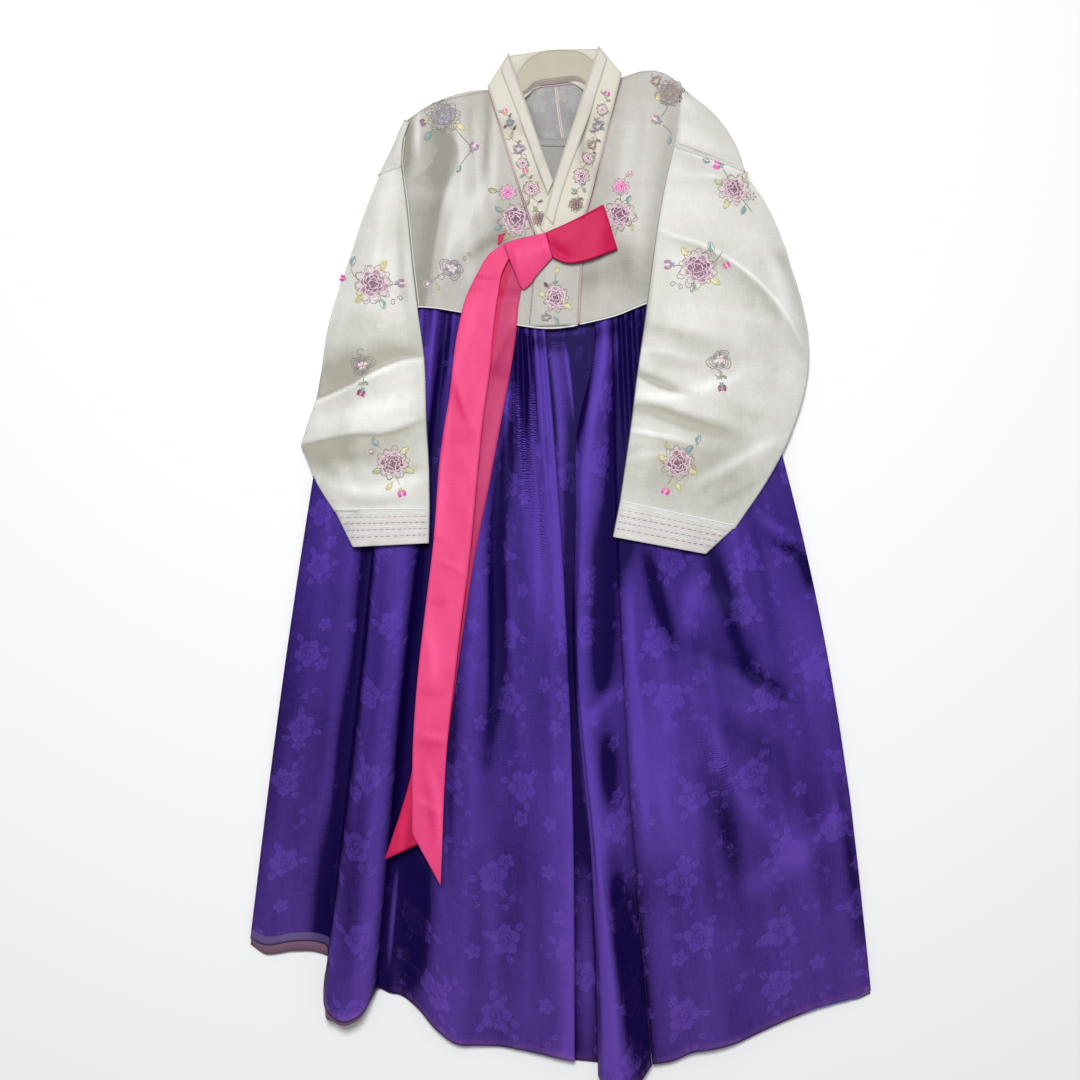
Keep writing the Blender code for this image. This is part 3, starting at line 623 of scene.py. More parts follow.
# Rolled hem: a thin dark line.
hem_thread = organza("dark purple hem thread", "#1c0d3c", "#33205c", shine=0.2)
# Selvedge: a thin lighter blue line.
blue_edge = organza("purple silk organza, selvedge", "#4a50a8", "#6f7ed0", shine=0.2)
# Turnings at the neck and the back's seam: pale pinkish strips, from more layers, painted paler still to
# offset the shade on the allowance's steep drop.
neck_allowance = organza("seam allowance at the neck", "#d3c4b9", "#eee3da", roughness=0.6)
# Rims of the jacket's hem and of the cuffs' seams: a fine bright line.
rim_white = organza("white hem rim", "#dcdad4", "#f2f1ed")
# The skirt: saturated violet with strong painted shade in the hollows of folds, lilac gloss and large woven
# roses.
purple = organza("purple silk organza", "#10043c", "#563ba0", 0.3, 104.0, 0.45, "#a08af0", streak=0.26,
                 folded=0.85, shine=0.16, lined="#a06a96")
# Underskirt: a dusky rose strip below the hem.
rose_brown = organza("rose brown lining organza", "#5a3a4e", "#93708a")
# Ribbon: bright and crisp, with a pink gloss; lighter and see-through where it is one layer, and deeper
# and redder where it is folded, and as painted shadow on the back tail beside the front tail.
pink = organza("hot pink silk organza", "#cf1f5c", "#fd5f98", alpha=0.95, gloss="#ffb0c8")
pink_sheer = organza("hot pink silk organza, one layer", "#c42a62", "#e8578a", alpha=0.62, gloss="#ffb0c8")
pink_folded_and_shaded = organza("hot pink silk organza, folded", "#aa0e3a", "#d51f5b", gloss="#ffb0c8")
# Piping of the collar and the gusset: a soft dusty line.
rose_piping = organza("dusty rose piping", "#b98c92", "#dfc1c3", roughness=0.45)
# Seam of the gusset: a thin grey line, a painted seam shadow.
seam_shadow_grey = organza("grey seam shadow", "#8b8580", "#a39d97")


# ---------------------------------------------------------------- the skirt


# Lines of the front, from waist to hem: x at the waist, x and y at the hem, sideways bow half-way down,
# and height above the layers on the floor half-way down and at the hem.
LEFT_FOLDS = [
    # waist_x, hem_x, hem_y, bow, mid_z, hem_z
    (-268, -399, -482, -8, 0, 0),
    (-256, -380, -490, -6, 4, 2),
    (-240, -345, -485, -4, 8, 4),
    (-222, -314, -486, -2, 5, 3),
    (-206, -297, -494, 0, 1, 1),
    (-198, -302, -536, 2, 8, 14),
    (-188, -297, -570, 2, 17, 28),
    (-175, -277, -581, 2, 22, 35),
    (-160, -254, -573, 0, 20, 32),
    (-149, -240, -553, 0, 12, 18),
    (-141, -233, -545, 0, 3, 3),
    (-132, -221, -552, 0, 1, 0),
    (-120, -206, -555, 0, 2, 0),
    (-108, -186, -568, 0, 4, 3),
    (-96, -158, -598, 0, 8, 10),
    (-84, -131, -616, 2, 11, 12),
    (-72, -104, -618, 5, 8, 8),
    (-60, -74, -620, 8, 5, 5),
    (-48, -42, -625, 11, 9, 9),
    (-38, -8, -632, 13, 12, 12),
    (-30, 17, -637, 15, 12, 13),
]
RIGHT_FOLDS = [
    # waist_x, hem_x, hem_y, bow, mid_z, hem_z
    (66, 118, -641, -12, 11, 11),
    (76, 142, -638, -8, 12, 11),
    (90, 168, -627, -2, 11, 13),
    (104, 196, -622, 4, 7, 14),
    (120, 226, -615, 9, 4, 10),
    (136, 256, -602, 14, 6, 7),
    (152, 288, -587, 18, 11, 8),
    (168, 318, -575, 22, 10, 9),
    (184, 350, -566, 25, 5, 6),
    (199, 380, -558, 28, 2, 2),
    (212, 400, -548, 30, 0, 0),
]
# The box pleat: x of its standing fold's edge and of its ridge, and the ridge's height, by share of the
# length from waist to hem.
PLEAT = np.array([
    # share, edge_x, ridge_x, ridge_z
    (0.0, 40, 50, 10),
    (0.12, 44, 53, 12),
    (0.22, 22, 34, 14),
    (0.33, 20, 30, 15),
    (0.50, 17, 26, 16),
    (0.61, 27, 36, 18),
    (0.70, 37, 46, 21),
    (0.84, 45, 62, 26),
    (1.0, 49, 77, 31),
])
SKIRT_ROWS = 240
LEFT_LINES, RIGHT_LINES = 37, 22
LINE_STEPS = 4  # columns of points from one line to the next
WAIST_RISE = 4.5  # of the front above the layers on the floor, at the waist
FLOOR_LAYERS = 3.1  # height of the back and the underskirt
FACE = WALL - SKIN  # of the cloth above its solid's inner face
FLAT = FLOOR_LAYERS + FACE  # of the front's cloth where it lies flat
GATHER_HEIGHT = 7.0
GATHERED = 0.42  # share of the length over which the gathers die away
FOLD_RISE, FOLD_CLEAR = 5.0, 2.9  # of the left width's folded edge, over and under its turn
TURN_COLUMNS = 13
PLEAT_TURN = 22.0  # how far beneath its fold the box pleat's recess runs
PLEAT_RETURN = 4.4  # height of the return above the recess
PLEAT_PATTERN, RIGHT_PATTERN = 700, 1200  # where these widths start on the woven pattern
HEM_BAND = 4  # rows of points over the lining at the left corner of the hem
LINED_X = -296  # the lining shows through left of this
SELVEDGE = 26  # columns of the right width with a selvedge along the hem
BACK_WIDTH_HEM = [
    (-394, -474), (-300, -480), (-215, -536), (-120, -600), (0, -625), (110, -632), (250, -592), (395, -545),
]
# How far the underskirt shows below the hem, by x.
PEEK = [(-400, 8), (-380, 12), (-300, 14), (-290, 5), (-240, 4), (-215, -5), (350, -5), (385, 3), (400, 5)]
SKIRT_FOLDS = [
    # path, width, height, then any lean
    ([(-89, 57), (-85, -59), (-88, -188)], 9, -5.0, 0.5),
    ([(-64, 121), (-66, 5), (-58, -150), (-48, -304)], 10, 3.0, 0.3),
    ([(-30, 231), (-28, 63), (-30, -111)], 7, 2.2),
    ([(-46, 289), (-46, 212), (-44, 121)], 5, -2.8),
    ([(-110, -240), (-95, -395), (-84, -562)], 14, 3.0),
    ([(-19, -253), (-14, -395), (-6, -562)], 13, 2.6),
    ([(148, -92), (203, -121), (250, -144), (312, -174)], 17, -3.9, 0.3),
    ([(150, -40), (215, -66), (276, -98)], 20, 3.12),
    ([(165, -160), (230, -190), (301, -228)], 20, 3.51),
    ([(272, 34), (288, 21), (307, 8)], 9, -4.0),
    ([(258, 61), (280, 44), (301, 34)], 10, 3.5),
    ([(104, -250), (150, -341), (190, -450), (240, -560)], 24, 3.12, 0.2),
    ([(181, -270), (212, -350), (236, -440)], 15, -2.65),
    ([(255, -230), (301, -360), (341, -501)], 20, 2.81),
    ([(116, 5), (129, -72), (148, -130)], 14, -3.12),
    ([(226, -46), (248, -111), (239, -163)], 14, -2.73),
    ([(90, -34), (93, -124), (106, -227)], 7, 2.6, 0.3),
]
SKIRT_PAINTED_SHADE = [
    # path, width, painted shade there, partly also more layers of the sheer cloth beneath (a painted
    # highlight where negative), then any lean
    ([(-243, 302), (-250, 212), (-255, 83)], 8, -0.5),
    ([(-268, 341), (-266, 295), (-261, 257)], 5, 0.8),
    ([(-139, 317), (-155, 237), (-166, 160), (-170, 57)], 5, 0.6),
    ([(-52, 302), (-49, 263), (-46, 212), (-44, 173)], 9, 1.3),
    ([(-54, 231), (-62, 173), (-71, 108), (-81, 5), (-81, -72), (-81, -150), (-94, -253)], 10, 1.4),
    ([(-26, 283), (-25, 224), (-25, 173)], 8, -0.5),
    ([(-41, 121), (-34, 31), (-26, -72)], 14, -0.45),
    ([(-36, 276), (-31, 212), (-28, 147)], 2, 0.7),
    ([(-19, 292), (-9, 212), (-3, 134)], 2.5, 0.8),
    ([(-15, 308), (-4, 212), (4, 108)], 9, -1.0),
    ([(8, 292), (17, 231), (22, 173), (22, 121)], 9, 1.0, 0.85),
    ([(4, 294), (13, 231), (19, 178)], 1.6, -1.0),
    ([(41, 295), (36, 237), (26, 173)], 6, 0.8),
    ([(67, 317), (49, 237), (40, 173), (31, 83)], 6, -0.6, -0.3),
    ([(95, 341), (90, 276), (83, 186), (74, 95), (66, 5)], 15, 2.0),
    ([(112, 345), (104, 240), (96, 150), (88, 60), (80, -20)], 12, 1.4),
    ([(-90, 290), (-19, 284), (19, 288), (52, 297), (100, 312)], 10, 0.8),
    ([(54, 57), (54, -46), (53, -175)], 14, 1.7),
    ([(30, -204), (52, -181), (77, -155)], 9, -0.6),
    ([(58, -208), (61, -253), (64, -317)], 13, 1.0),
    ([(67, -382), (80, -472), (94, -562), (103, -653)], 16, 1.8),
    ([(25, -175), (30, -266), (44, -369), (59, -498), (74, -653)], 4, -0.8),
    ([(30, -369), (34, -511), (36, -666)], 14, -0.9),
    ([(44, -440), (49, -537), (52, -659)], 3, 0.9),
    ([(0, 173), (0, 57), (-1, -98)], 6, -0.9),
    ([(13, 5), (14, -98), (15, -201)], 7, 0.6),
    ([(85, 5), (88, -98), (98, -214), (114, -369)], 7, -0.6),
    ([(106, 34), (124, -34), (147, -111)], 10, 0.85),
    ([(188, 44), (209, -34), (230, -104), (248, -150)], 13, 0.82),
    ([(235, -124), (261, -150), (297, -175)], 9, 0.55),
    ([(168, -8), (168, -98)], 12, -0.6),
    ([(121, -137), (129, -253), (142, -395)], 42, -0.47),
    ([(160, -137), (196, -221), (239, -304), (310, -382)], 12, -0.43),
    ([(199, -240), (214, -324), (230, -408)], 19, 0.43),
    ([(230, -182), (273, -259), (315, -337)], 28, 0.35),
    ([(304, -34), (325, -111), (338, -201)], 22, -0.47),
    ([(222, -427), (297, -379), (369, -311)], 15, -0.47),
    ([(93, -427), (168, -414), (232, -440)], 28, 0.23),
    ([(292, 31), (310, 10), (322, -34)], 8, 0.8),
    ([(359, -279), (374, -382), (387, -498)], 9, 0.55),
    ([(-191, -343), (-186, -433), (-191, -556)], 19, 1.5),
    ([(-208, -369), (-214, -433), (-222, -521)], 2.2, -1.4),
    ([(-248, 31), (-253, -72), (-261, -201)], 6, 1.2),
    ([(-263, -150), (-271, -253), (-281, -356)], 13, 1.1),
    ([(-279, -317), (-292, -395), (-302, -511)], 24, 0.8),
    ([(-224, 31), (-230, -98), (-237, -227), (-248, -382)], 22, 0.5),
    ([(-258, -300), (-262, -430), (-272, -590)], 22, 0.55),
    ([(-175, 31), (-188, -111), (-199, -253), (-209, -382)], 11, 1.3),
    ([(-335, -46), (-348, -201), (-364, -382)], 46, 0.3),
    ([(-126, -98), (-139, -253), (-142, -408)], 6, 0.5),
]
SKIRT_RIPPLED = [
    # path, width, strength
    ([(-55, 240), (-53, 199), (-49, 147)], 5, 1.0),
    ([(-39, 224), (-36, 192), (-35, 154)], 5, 1.0),
    ([(-46, 173), (-43, 121), (-37, 57)], 7, 0.6),
    ([(-26, 108), (-23, 57), (-22, -8)], 5, 0.6),
    ([(35, 308), (39, 276), (36, 231)], 5, 0.5),
    ([(181, -221), (213, -266), (245, -304)], 12, 0.3),
]


def width_of_skirt(table, lines, first_gather, seed):
    """A width of the skirt's front and its place on the weaving pattern. A line runs straight from waist to
    hem with its sideways bow, and its height goes from the waist to half-way and on to the hem. Every
    second line is the crest of a rounded gather that dies away down the skirt, with finer ones between."""
    count = (lines - 1) * LINE_STEPS + 1
    waist_x, hem_x, hem_y, bow, mid_z, hem_z = along(table, count).T
    share = np.linspace(0, 1, SKIRT_ROWS)[:, None]
    x = waist_x * (1 - share) + hem_x * share + bow * np.sin(math.pi * share)
    y = (WAIST_Y - SEAM) * (1 - share) + hem_y * share
    early, late = np.clip(2 * share, 0, 1), np.clip(2 * share - 1, 0, 1)
    z = WAIST_RISE * (1 - early) + mid_z * np.sin(early * math.pi / 2) * (1 - late) + hem_z * late
    line = first_gather + np.arange(count) / LINE_STEPS
    bent = line + 0.9 * noise(line / 2.4, share * 1.5, seed + 5)
    bent = bent + 0.3 * noise(line * 0.9, share * 4, seed + 6)
    crest = (0.5 - 0.5 * np.cos(math.pi * bent)) * (0.62 + 0.5 * noise(line / 2.9, share * 2, seed + 7))
    fade = np.clip(1 - share / GATHERED, 0, 1) ** 1.3
    across = np.cumsum(np.abs(np.gradient(hem_x)))[None, :] + 0 * share
    down = SKIRT_LENGTH * share + 0 * across
    fine = 1.6 * noise(across / 8.5, down / 150 + 3, seed) * np.clip(1 - share / 0.34, 0, 1) ** 0.8
    drape = (
        2.0 * noise(across / 30, down / 260, seed + 1) * np.clip(share * 3, 0, 1)
        + 0.6 * noise(across / 12, down / 150, seed + 2)
        + 0.5 * noise(across / 34 + down / 90, down / 60 - across / 80, seed + 3) * share
    )
    plan = np.stack([x, y], axis=2)
    height = z + GATHER_HEIGHT * crest * fade + fine + drape + FLOOR_LAYERS + FACE
    height = np.maximum(height + folds(plan, SKIRT_FOLDS), FLAT - 0.3)
    return raised(plan, height), np.stack([across, -down], axis=2)


def folded_edge(surface, place):
    """The left width with columns that carry it round its folded edge and back beneath itself."""
    edge = surface[:, -1].copy()
    edge[:, 2] = np.maximum(edge[:, 2], FLOOR_LAYERS + FOLD_RISE + FACE)
    depth = edge[:, 2] - (FLOOR_LAYERS + FOLD_CLEAR + FACE)
    surface[:, -6:, 2] += (edge[:, 2] - surface[:, -1, 2])[:, None] * np.linspace(0, 1, 6)
    turn = [
        edge + np.stack([0 * depth + sideways, 0 * depth, -depth * share], axis=1)
        for sideways, share in along([(0, 0), (2, 0.35), (1, 0.8), (-6, 1), (-17, 1)], TURN_COLUMNS + 1)[1:]
    ]
    more = place[:, -1:] + np.arange(1, TURN_COLUMNS + 1)[None, :, None] * np.array([2.0, 0])
    return np.concatenate([surface, np.stack(turn, axis=1)], axis=1), np.concatenate([place, more], axis=1)


def box_pleat(left_edge, seam_line):
    """The centre width: a recess floor from beneath the left width's edge to beneath the standing fold, a
    turn, a return to the fold's edge, another turn, and the top over the ridge to the next seam."""
    share = np.linspace(0, 1, SKIRT_ROWS)
    edge_x, ridge_x, ridge_z = curve(share, PLEAT[:, 0], PLEAT[:, 1:]).T
    seam_x, seam_z = seam_line[:, 0] - 2 * SEAM, seam_line[:, 2] - FLOOR_LAYERS - FACE
    turn_x = np.minimum(edge_x + PLEAT_TURN, seam_x - 6)
    top_z = PLEAT_RETURN + (ridge_z - PLEAT_RETURN) * 0.55
    floor = 0 * edge_x
    columns = [
        # place along the section, x, hem_y, z above the floor layers
        (0, left_edge[:, 0] - 15, -638, floor),
        (1, left_edge[:, 0] + 4, -639, floor),
        (2, (left_edge[:, 0] + edge_x) / 2, -640, floor),
        (3, edge_x + 4, -642, floor),
        (4, turn_x, -644, floor),
        (4.3, turn_x + 2.6, -646, floor + PLEAT_RETURN / 2),
        (4.6, turn_x, -648, floor + PLEAT_RETURN),
        (5.6, edge_x + 4, -652, floor + PLEAT_RETURN),
        (5.9, edge_x - 0.5, -655, (PLEAT_RETURN + top_z) / 2),
        (6.2, edge_x + 3, -660, top_z),
        (7.2, ridge_x, -674, ridge_z),
        (8.2, (ridge_x + seam_x) / 2, -667, (ridge_z + seam_z) / 2 + 2),
        (9.2, seam_x, -642, seam_z),
    ]
    points = np.stack([
        [x, (WAIST_Y - SEAM) * (1 - share) + hem_y * share, z + FLOOR_LAYERS + FACE]
        for _, x, hem_y, z in columns
    ])
    at = np.concatenate([np.linspace(0, 4, 40), np.linspace(4.1, 6.2, 16), np.linspace(6.3, 9.2, 30)])
    section = curve(at, [row[0] for row in columns], points.reshape(len(columns), -1))
    fine = section.reshape(len(at), 3, SKIRT_ROWS).transpose(2, 0, 1)
    step = np.linalg.norm(np.diff(fine[-1], axis=0), axis=1)
    across = np.concatenate([[0], np.cumsum(step)])[None, :] + 0 * share[:, None]
    return fine, np.stack([across + PLEAT_PATTERN, -SKIRT_LENGTH * share[:, None] + 0 * across], axis=2)


def moved_in(points, distance):
    """The grid's points moved against its normals."""
    normal = np.cross(np.gradient(points, axis=0), np.gradient(points, axis=1))
    return points - distance * normal / np.linalg.norm(normal, axis=2, keepdims=True)


def underskirt(left, right):
    """The layer beneath from half-way down: the widths' own points moved in, lying flat below the box
    pleat, and running past the hem where it shows."""
    left, right = left[:, :-16], right[:, 8:]
    gap = [left[:, -1] * (1 - t) + right[:, 0] * t for t in np.linspace(0.04, 0.96, 24)]
    floor = np.stack(gap, axis=1)
    floor[..., 2] = FLAT
    whole = np.concatenate([left, floor, right], axis=1)
    lining = moved_in(whole[int(0.54 * len(whole)) :: 2], WALL + SEAM)
    peek = np.interp(lining[-2:, :, 0], *np.array(PEEK).T)
    lining[-2:, :, 1] -= peek * np.array([[0.5], [1.0]])
    lining[..., 2] = np.maximum(lining[..., 2], WALL + SEAM + FACE)
    return lining


def make_skirt():
    """The front's three widths, the underskirt, the threads along the hem, the back and the bodice."""
    left, left_place = width_of_skirt(LEFT_FOLDS, LEFT_LINES, 0, 11)
    right, right_place = width_of_skirt(RIGHT_FOLDS, RIGHT_LINES, LEFT_LINES, 23)
    centre, centre_place = box_pleat(left[:, -1], right[:, 0])
    lining = underskirt(left, right)
    left, left_place = folded_edge(left, left_place)
    right_place[..., 0] += RIGHT_PATTERN
    lined = ((left[:-1, :-1] + left[1:, 1:]) / 2)[..., 0] < LINED_X
    lined &= np.arange(SKIRT_ROWS - 1)[:, None] >= SKIRT_ROWS - HEM_BAND
    rows = (
        ("skirt_left_width", "chima_front_left", left, left_place, 61, (560, 1040, 0.38, "gathered")),
        ("skirt_box_pleat", "chima_front_centre", centre, centre_place, None, (260, 1060, 0.17, "folded")),
        ("skirt_right_width", "chima_front_right", right, right_place, 67, (400, 1040, 0.25, "gathered")),
    )
    for name, node_name, width, place, seed, sheet in rows:
        depth = depth_in_folds(width, [left, centre, right], reach=30.0, full=7.0, shade_bands=SKIRT_PAINTED_SHADE)
        if seed:
            # painted light and shade in streaks along the gathers near the waist, dying away down the skirt
            near_waist = np.clip(1 + place[..., 1] / 260, 0, 1)
            depth += 0.3 * noise(place[..., 0] / 4.6, place[..., 1] / 70, seed) * near_waist
        finish, kinds = ([purple, purple_hem], lined.ravel().astype(int)) if width is left else (purple, None)
        rippled = folds(width[..., :2], SKIRT_RIPPLED)
        panel(name, node_name, width, finish, place, kinds=kinds, depth=depth, rippled=rippled)
    panel("skirt_lining", "chima_underskirt", lining, rose_brown)
    for name, cloth, hem, finish in (
        ("hem_left_width", "skirt_left_width", left[-1, 1:-14], hem_thread),
        ("hem_right_width", "skirt_right_width", right[-1, 1:-SELVEDGE], hem_thread),
        ("hem_selvedge", "skirt_right_width", right[-1, -SELVEDGE:-1], blue_edge),
    ):
        piped(name, hem[::3, :2] + (0, 0.6), finish, 0.55, ground_of([cloth]), lift=0.1)

    waist, hem = [(-262, WAIST_Y - SEAM), (210, WAIST_Y - SEAM)], BACK_WIDTH_HEM
    left, right = [waist[0], (-330, -40), hem[0]], [waist[1], (300, 0), (366, -250), hem[-1]]
    plan = between(waist, hem, left, right, rows=60, columns=50)
    laid_panel("skirt_back", "chima_back", plan, purple)
    waist = [(-260, WAIST_Y + SEAM), (208, WAIST_Y + SEAM)]
    for name, y in (("bodice_back", 546), ("bodice_front", 550)):
        top = [(-196, y - 6), (-20, y - 2), (196, y - 14)]
        plan = between(top, waist, [top[0], waist[0]], [top[-1], waist[-1]], rows=24, columns=40)
        laid_panel(name, f"chima_{name}", plan, cotton)


# ---------------------------------------------------------------- the jacket


SHOULDER_LEFT, SHOULDER_RIGHT = (-200, 571), (165, 605)
ARMHOLE_LEFT = [(-203, 508), (-231, 498)]
ARMHOLE_RIGHT = [(146, 535), (236, 502)]
SHOULDERS = [
    # side, sleeve, shoulder, side seam, inner edge of the turn
    (
        -1, "sleeve_left", [SHOULDER_LEFT, (-208, 547), ARMHOLE_LEFT[1]],
        [ARMHOLE_LEFT[1], (-245, 455), (-250, 400), (-252, 318)], [(-193, 569), (-201, 545), ARMHOLE_LEFT[0]],
    ),
    (
        1, "sleeve_right", [SHOULDER_RIGHT, (200, 573), (228, 528), ARMHOLE_RIGHT[1]],
        [ARMHOLE_RIGHT[1], (238, 460), (234, 400), (226, 352)], [(157, 609), (153, 585), ARMHOLE_RIGHT[0]],
    ),
]
BACK_TOP = [
    SHOULDER_LEFT, (-168, 592), (-90, 611), (-48, 600), (-31, 617), (17, 623), (34, 610), (79, 627),
    (108, 636), (124, 636), (150, 623), SHOULDER_RIGHT,
]
BACK_HEM = [(-252, 318), (-120, 336), (-20, 328), (90, 340), (226, 352)]
TURN_ROWS, SIDE_ROWS, BACK_COLUMNS = 13, 50, 70
TURN_BULGE = 2.4  # of a shoulder's turn past the fold
ON_FLOOR = 3  # height below which the back's cloth is its flat part
NECK_X, NECK_HALF, NECK_FOOT = -4, 62, 470  # the opening where a single layer shows: middle, half width, foot
NECK_SHADED = [
    # path, width, painted shadow along the collar's inner edges (a painted highlight where negative)
    ([(-54, 619), (-39, 575), (-19, 521)], 7, 0.9),
    ([(41, 624), (28, 583), (10, 521)], 9, 1.1),
    ([(-19, 593), (-14, 560), (-10, 534)], 5, -0.3),
]


def make_jacket_back():
    """The back lies flat on the floor, and both shoulders turn up and over to the armhole seams."""
    edges = [np.concatenate([along(row[2], TURN_ROWS), along(row[3], SIDE_ROWS)[1:]]) for row in SHOULDERS]
    plan = blended(along(BACK_TOP, BACK_COLUMNS), along(BACK_HEM, BACK_COLUMNS), *edges)
    highest = relief(solid_corners("jeogori_back"), 3.0)
    points, faces = [raised(plan, WALL - SKIN).reshape(-1, 3)], [quads_of(*plan.shape[:2])]
    grown = np.sin(0.5 * math.pi * np.clip(np.linspace(0, 3, TURN_ROWS), 0, 1))[:, None]
    joined = np.linspace(0, 1, TURN_ROWS) ** 2
    for side, sleeve, _, _, inner in SHOULDERS:
        edge = 0 if side < 0 else BACK_COLUMNS - 1
        outer, inner = plan[:TURN_ROWS, edge], along(inner, TURN_ROWS)
        on_sleeve = relief(solid_corners(sleeve))
        width = np.linalg.norm(outer - inner, axis=1)
        # The turn is as high as its solid a little way in from the fold.
        start = outer + (inner - outer) * np.minimum(6 / np.maximum(width, 12), 0.5)[:, None]
        height = height_on(highest, start) - SKIN
        bulge = outer + np.array([side * TURN_BULGE, TURN_BULGE / 4]) * grown
        columns = [raised(bulge, height * 0.3), raised(bulge, height * 0.7)]
        for share in np.linspace(0, 1, 16) ** 1.4:
            spot = outer * (1 - share) + inner * share
            over = height + 2 * math.sin(math.pi * share) * grown[:, 0]
            columns.append(raised(spot, over * (1 - joined) + (height_on(on_sleeve, spot) - SKIN) * joined))
        turn = np.stack(columns, axis=1)
        index = sum(len(p) for p in points) + np.arange(turn[..., 0].size).reshape(TURN_ROWS, -1)
        quads = quads_between(np.insert(index, 0, np.arange(TURN_ROWS) * BACK_COLUMNS + edge, axis=1))
        points.append(turn.reshape(-1, 3))
        faces.append(quads if side > 0 else quads[:, ::-1])
    points, faces = np.concatenate(points), np.concatenate(faces)
    x, y, z = points[faces].mean(axis=1).T
    # Inside the neck the back takes a darker material, partly for its single layer over the floor and partly
    # painted shade beneath the collar; the painted shadow bands of NECK_SHADED go into its depth.
    in_neck = (np.abs(x - NECK_X) < NECK_HALF) & (y > NECK_FOOT) & (z < ON_FLOOR)
    depth = np.clip(0.5 + folds(points[:, :2], NECK_SHADED) / 2, 0, 1)
    finish, kinds = [cream_inside_shaded, cream_sleeve], np.where(in_neck, 0, 1)
    obj = shell("jacket_back", points, faces, points[:, :2], finish, CLOTH, kinds, depth)
    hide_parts("jeogori_back")


BODY_FOLDS_RIGHT = [
    # path, width, height, then any lean
    ([(-184, 580), (-183, 540), (-181, 510)], 5, 0.8),
    ([(-138, 592), (-127, 520), (-134, 440), (-152, 372), (-160, 335)], 8, 2.4, 0.35),
    ([(-112, 590), (-106, 500), (-98, 420)], 7, 1.8, 0.3),
    ([(-96, 600), (-88, 520), (-84, 450)], 5, 1.2),
    ([(-120, 470), (-118, 400), (-116, 345)], 10, 1.6, 0.2),
    ([(-84, 430), (-86, 380), (-84, 330)], 7, 0.9),
]
BODY_FOLDS_LEFT = [
    # path, width, height, then any lean
    ([(118, 622), (112, 540), (102, 440), (96, 350)], 12, 2.2, 0.3),
    ([(90, 600), (80, 500), (74, 400)], 10, 1.3, 0.2),
    ([(60, 470), (58, 400), (52, 330)], 8, 0.9),
]
BODY_PAINTED_SHADE_RIGHT = [
    # path, width, painted shade there (a painted highlight where negative), then any lean
    ([(-150, 570), (-153, 530), (-160, 490)], 15, 0.5),
    ([(-225, 478), (-170, 476), (-120, 474)], 13, -0.25),
    (
        [
            (-183, 539), (-168, 557), (-146, 557), (-133, 538), (-135, 512), (-146, 488), (-156, 448),
            (-164, 399), (-173, 341), (-183, 276),
        ],
        19, 0.9, -0.85,
    ),
    ([(-194, 600), (-195, 547), (-199, 490)], 6, 0.8),
    ([(-181, 590), (-183, 555), (-183, 521)], 4, -0.6),
    ([(-134, 534), (-139, 482), (-142, 437)], 8, -0.45),
    ([(-95, 611), (-93, 553), (-98, 495)], 5, 0.7),
    ([(-85, 609), (-83, 534), (-85, 470)], 4, -0.4),
    ([(-114, 604), (-115, 560), (-111, 521)], 6, 0.3),
    ([(-90, 495), (-116, 454), (-144, 410)], 9, -0.6),
    ([(-155, 405), (-155, 360), (-155, 315)], 30, 0.25),
    ([(-126, 382), (-97, 410), (-62, 421)], 9, 0.7),
    ([(-77, 470), (-74, 418), (-77, 341)], 14, 0.4),
]
BODY_PAINTED_SHADE_LEFT = [
    # path, width, painted shade there (a painted highlight where negative), then any lean
    ([(139, 611), (139, 537), (129, 491), (119, 426), (114, 343)], 9, 0.25),
    ([(98, 611), (93, 534), (84, 444)], 10, -0.3),
    ([(116, 599), (111, 508), (103, 418)], 8, 0.25),
    ([(67, 418), (93, 384), (103, 328)], 24, 0.6),
    ([(8, 360), (39, 366), (77, 379)], 16, 0.5),
    ([(90, 463), (88, 424), (85, 405)], 8, -0.4),
]
ROLL = 7.0  # over which a front's shoulder edge goes down to the back
BRIDGE_SLOPE = 0.17  # of a front over the bodice's edge beneath it


def lowered_to_back(plan, height):
    """Lets the first rows of a front go down to the back's level in a quarter round."""
    away = np.linalg.norm(plan - plan[:1], axis=-1)
    near = np.clip(away / ROLL, 0, 1)
    floor = 2 * WALL + SEAM - SKIN
    return floor + (height - floor) * np.sqrt(1 - (1 - near) ** 2)


def front_cloth(node_name, plan, table, shade_bands):
    """A front's points with its folds, and how deep in them each point lies, which sets its painted shade and
    highlight.
    """
    height = folds(plan, table)
    # painted highlight on the folds' crests, with the bands of painted shade and highlight added
    depth = np.clip(0.5 - height / 7 + folds(plan, shade_bands) / 2, 0, 1)
    return raised(plan, lowered_to_back(plan, smooth_top(node_name, plan) + height)), depth


def smooth_top(name, plan):
    """Height of a front's face, bridging the step where the bodice begins beneath it with a gentle slope
    that is rounded off at both ends."""
    soft, bridged = relief(solid_corners(name), 18.0), []
    for above in range(-15, 16, 6):
        steps = [
            height_on(soft, plan + (0, above - below)) - SKIN - BRIDGE_SLOPE * below
            for below in range(0, 76, 6)
        ]
        bridged.append(np.max(steps, axis=0))
    return np.maximum(top_of(name, plan, 12.0), np.mean(bridged, axis=0))


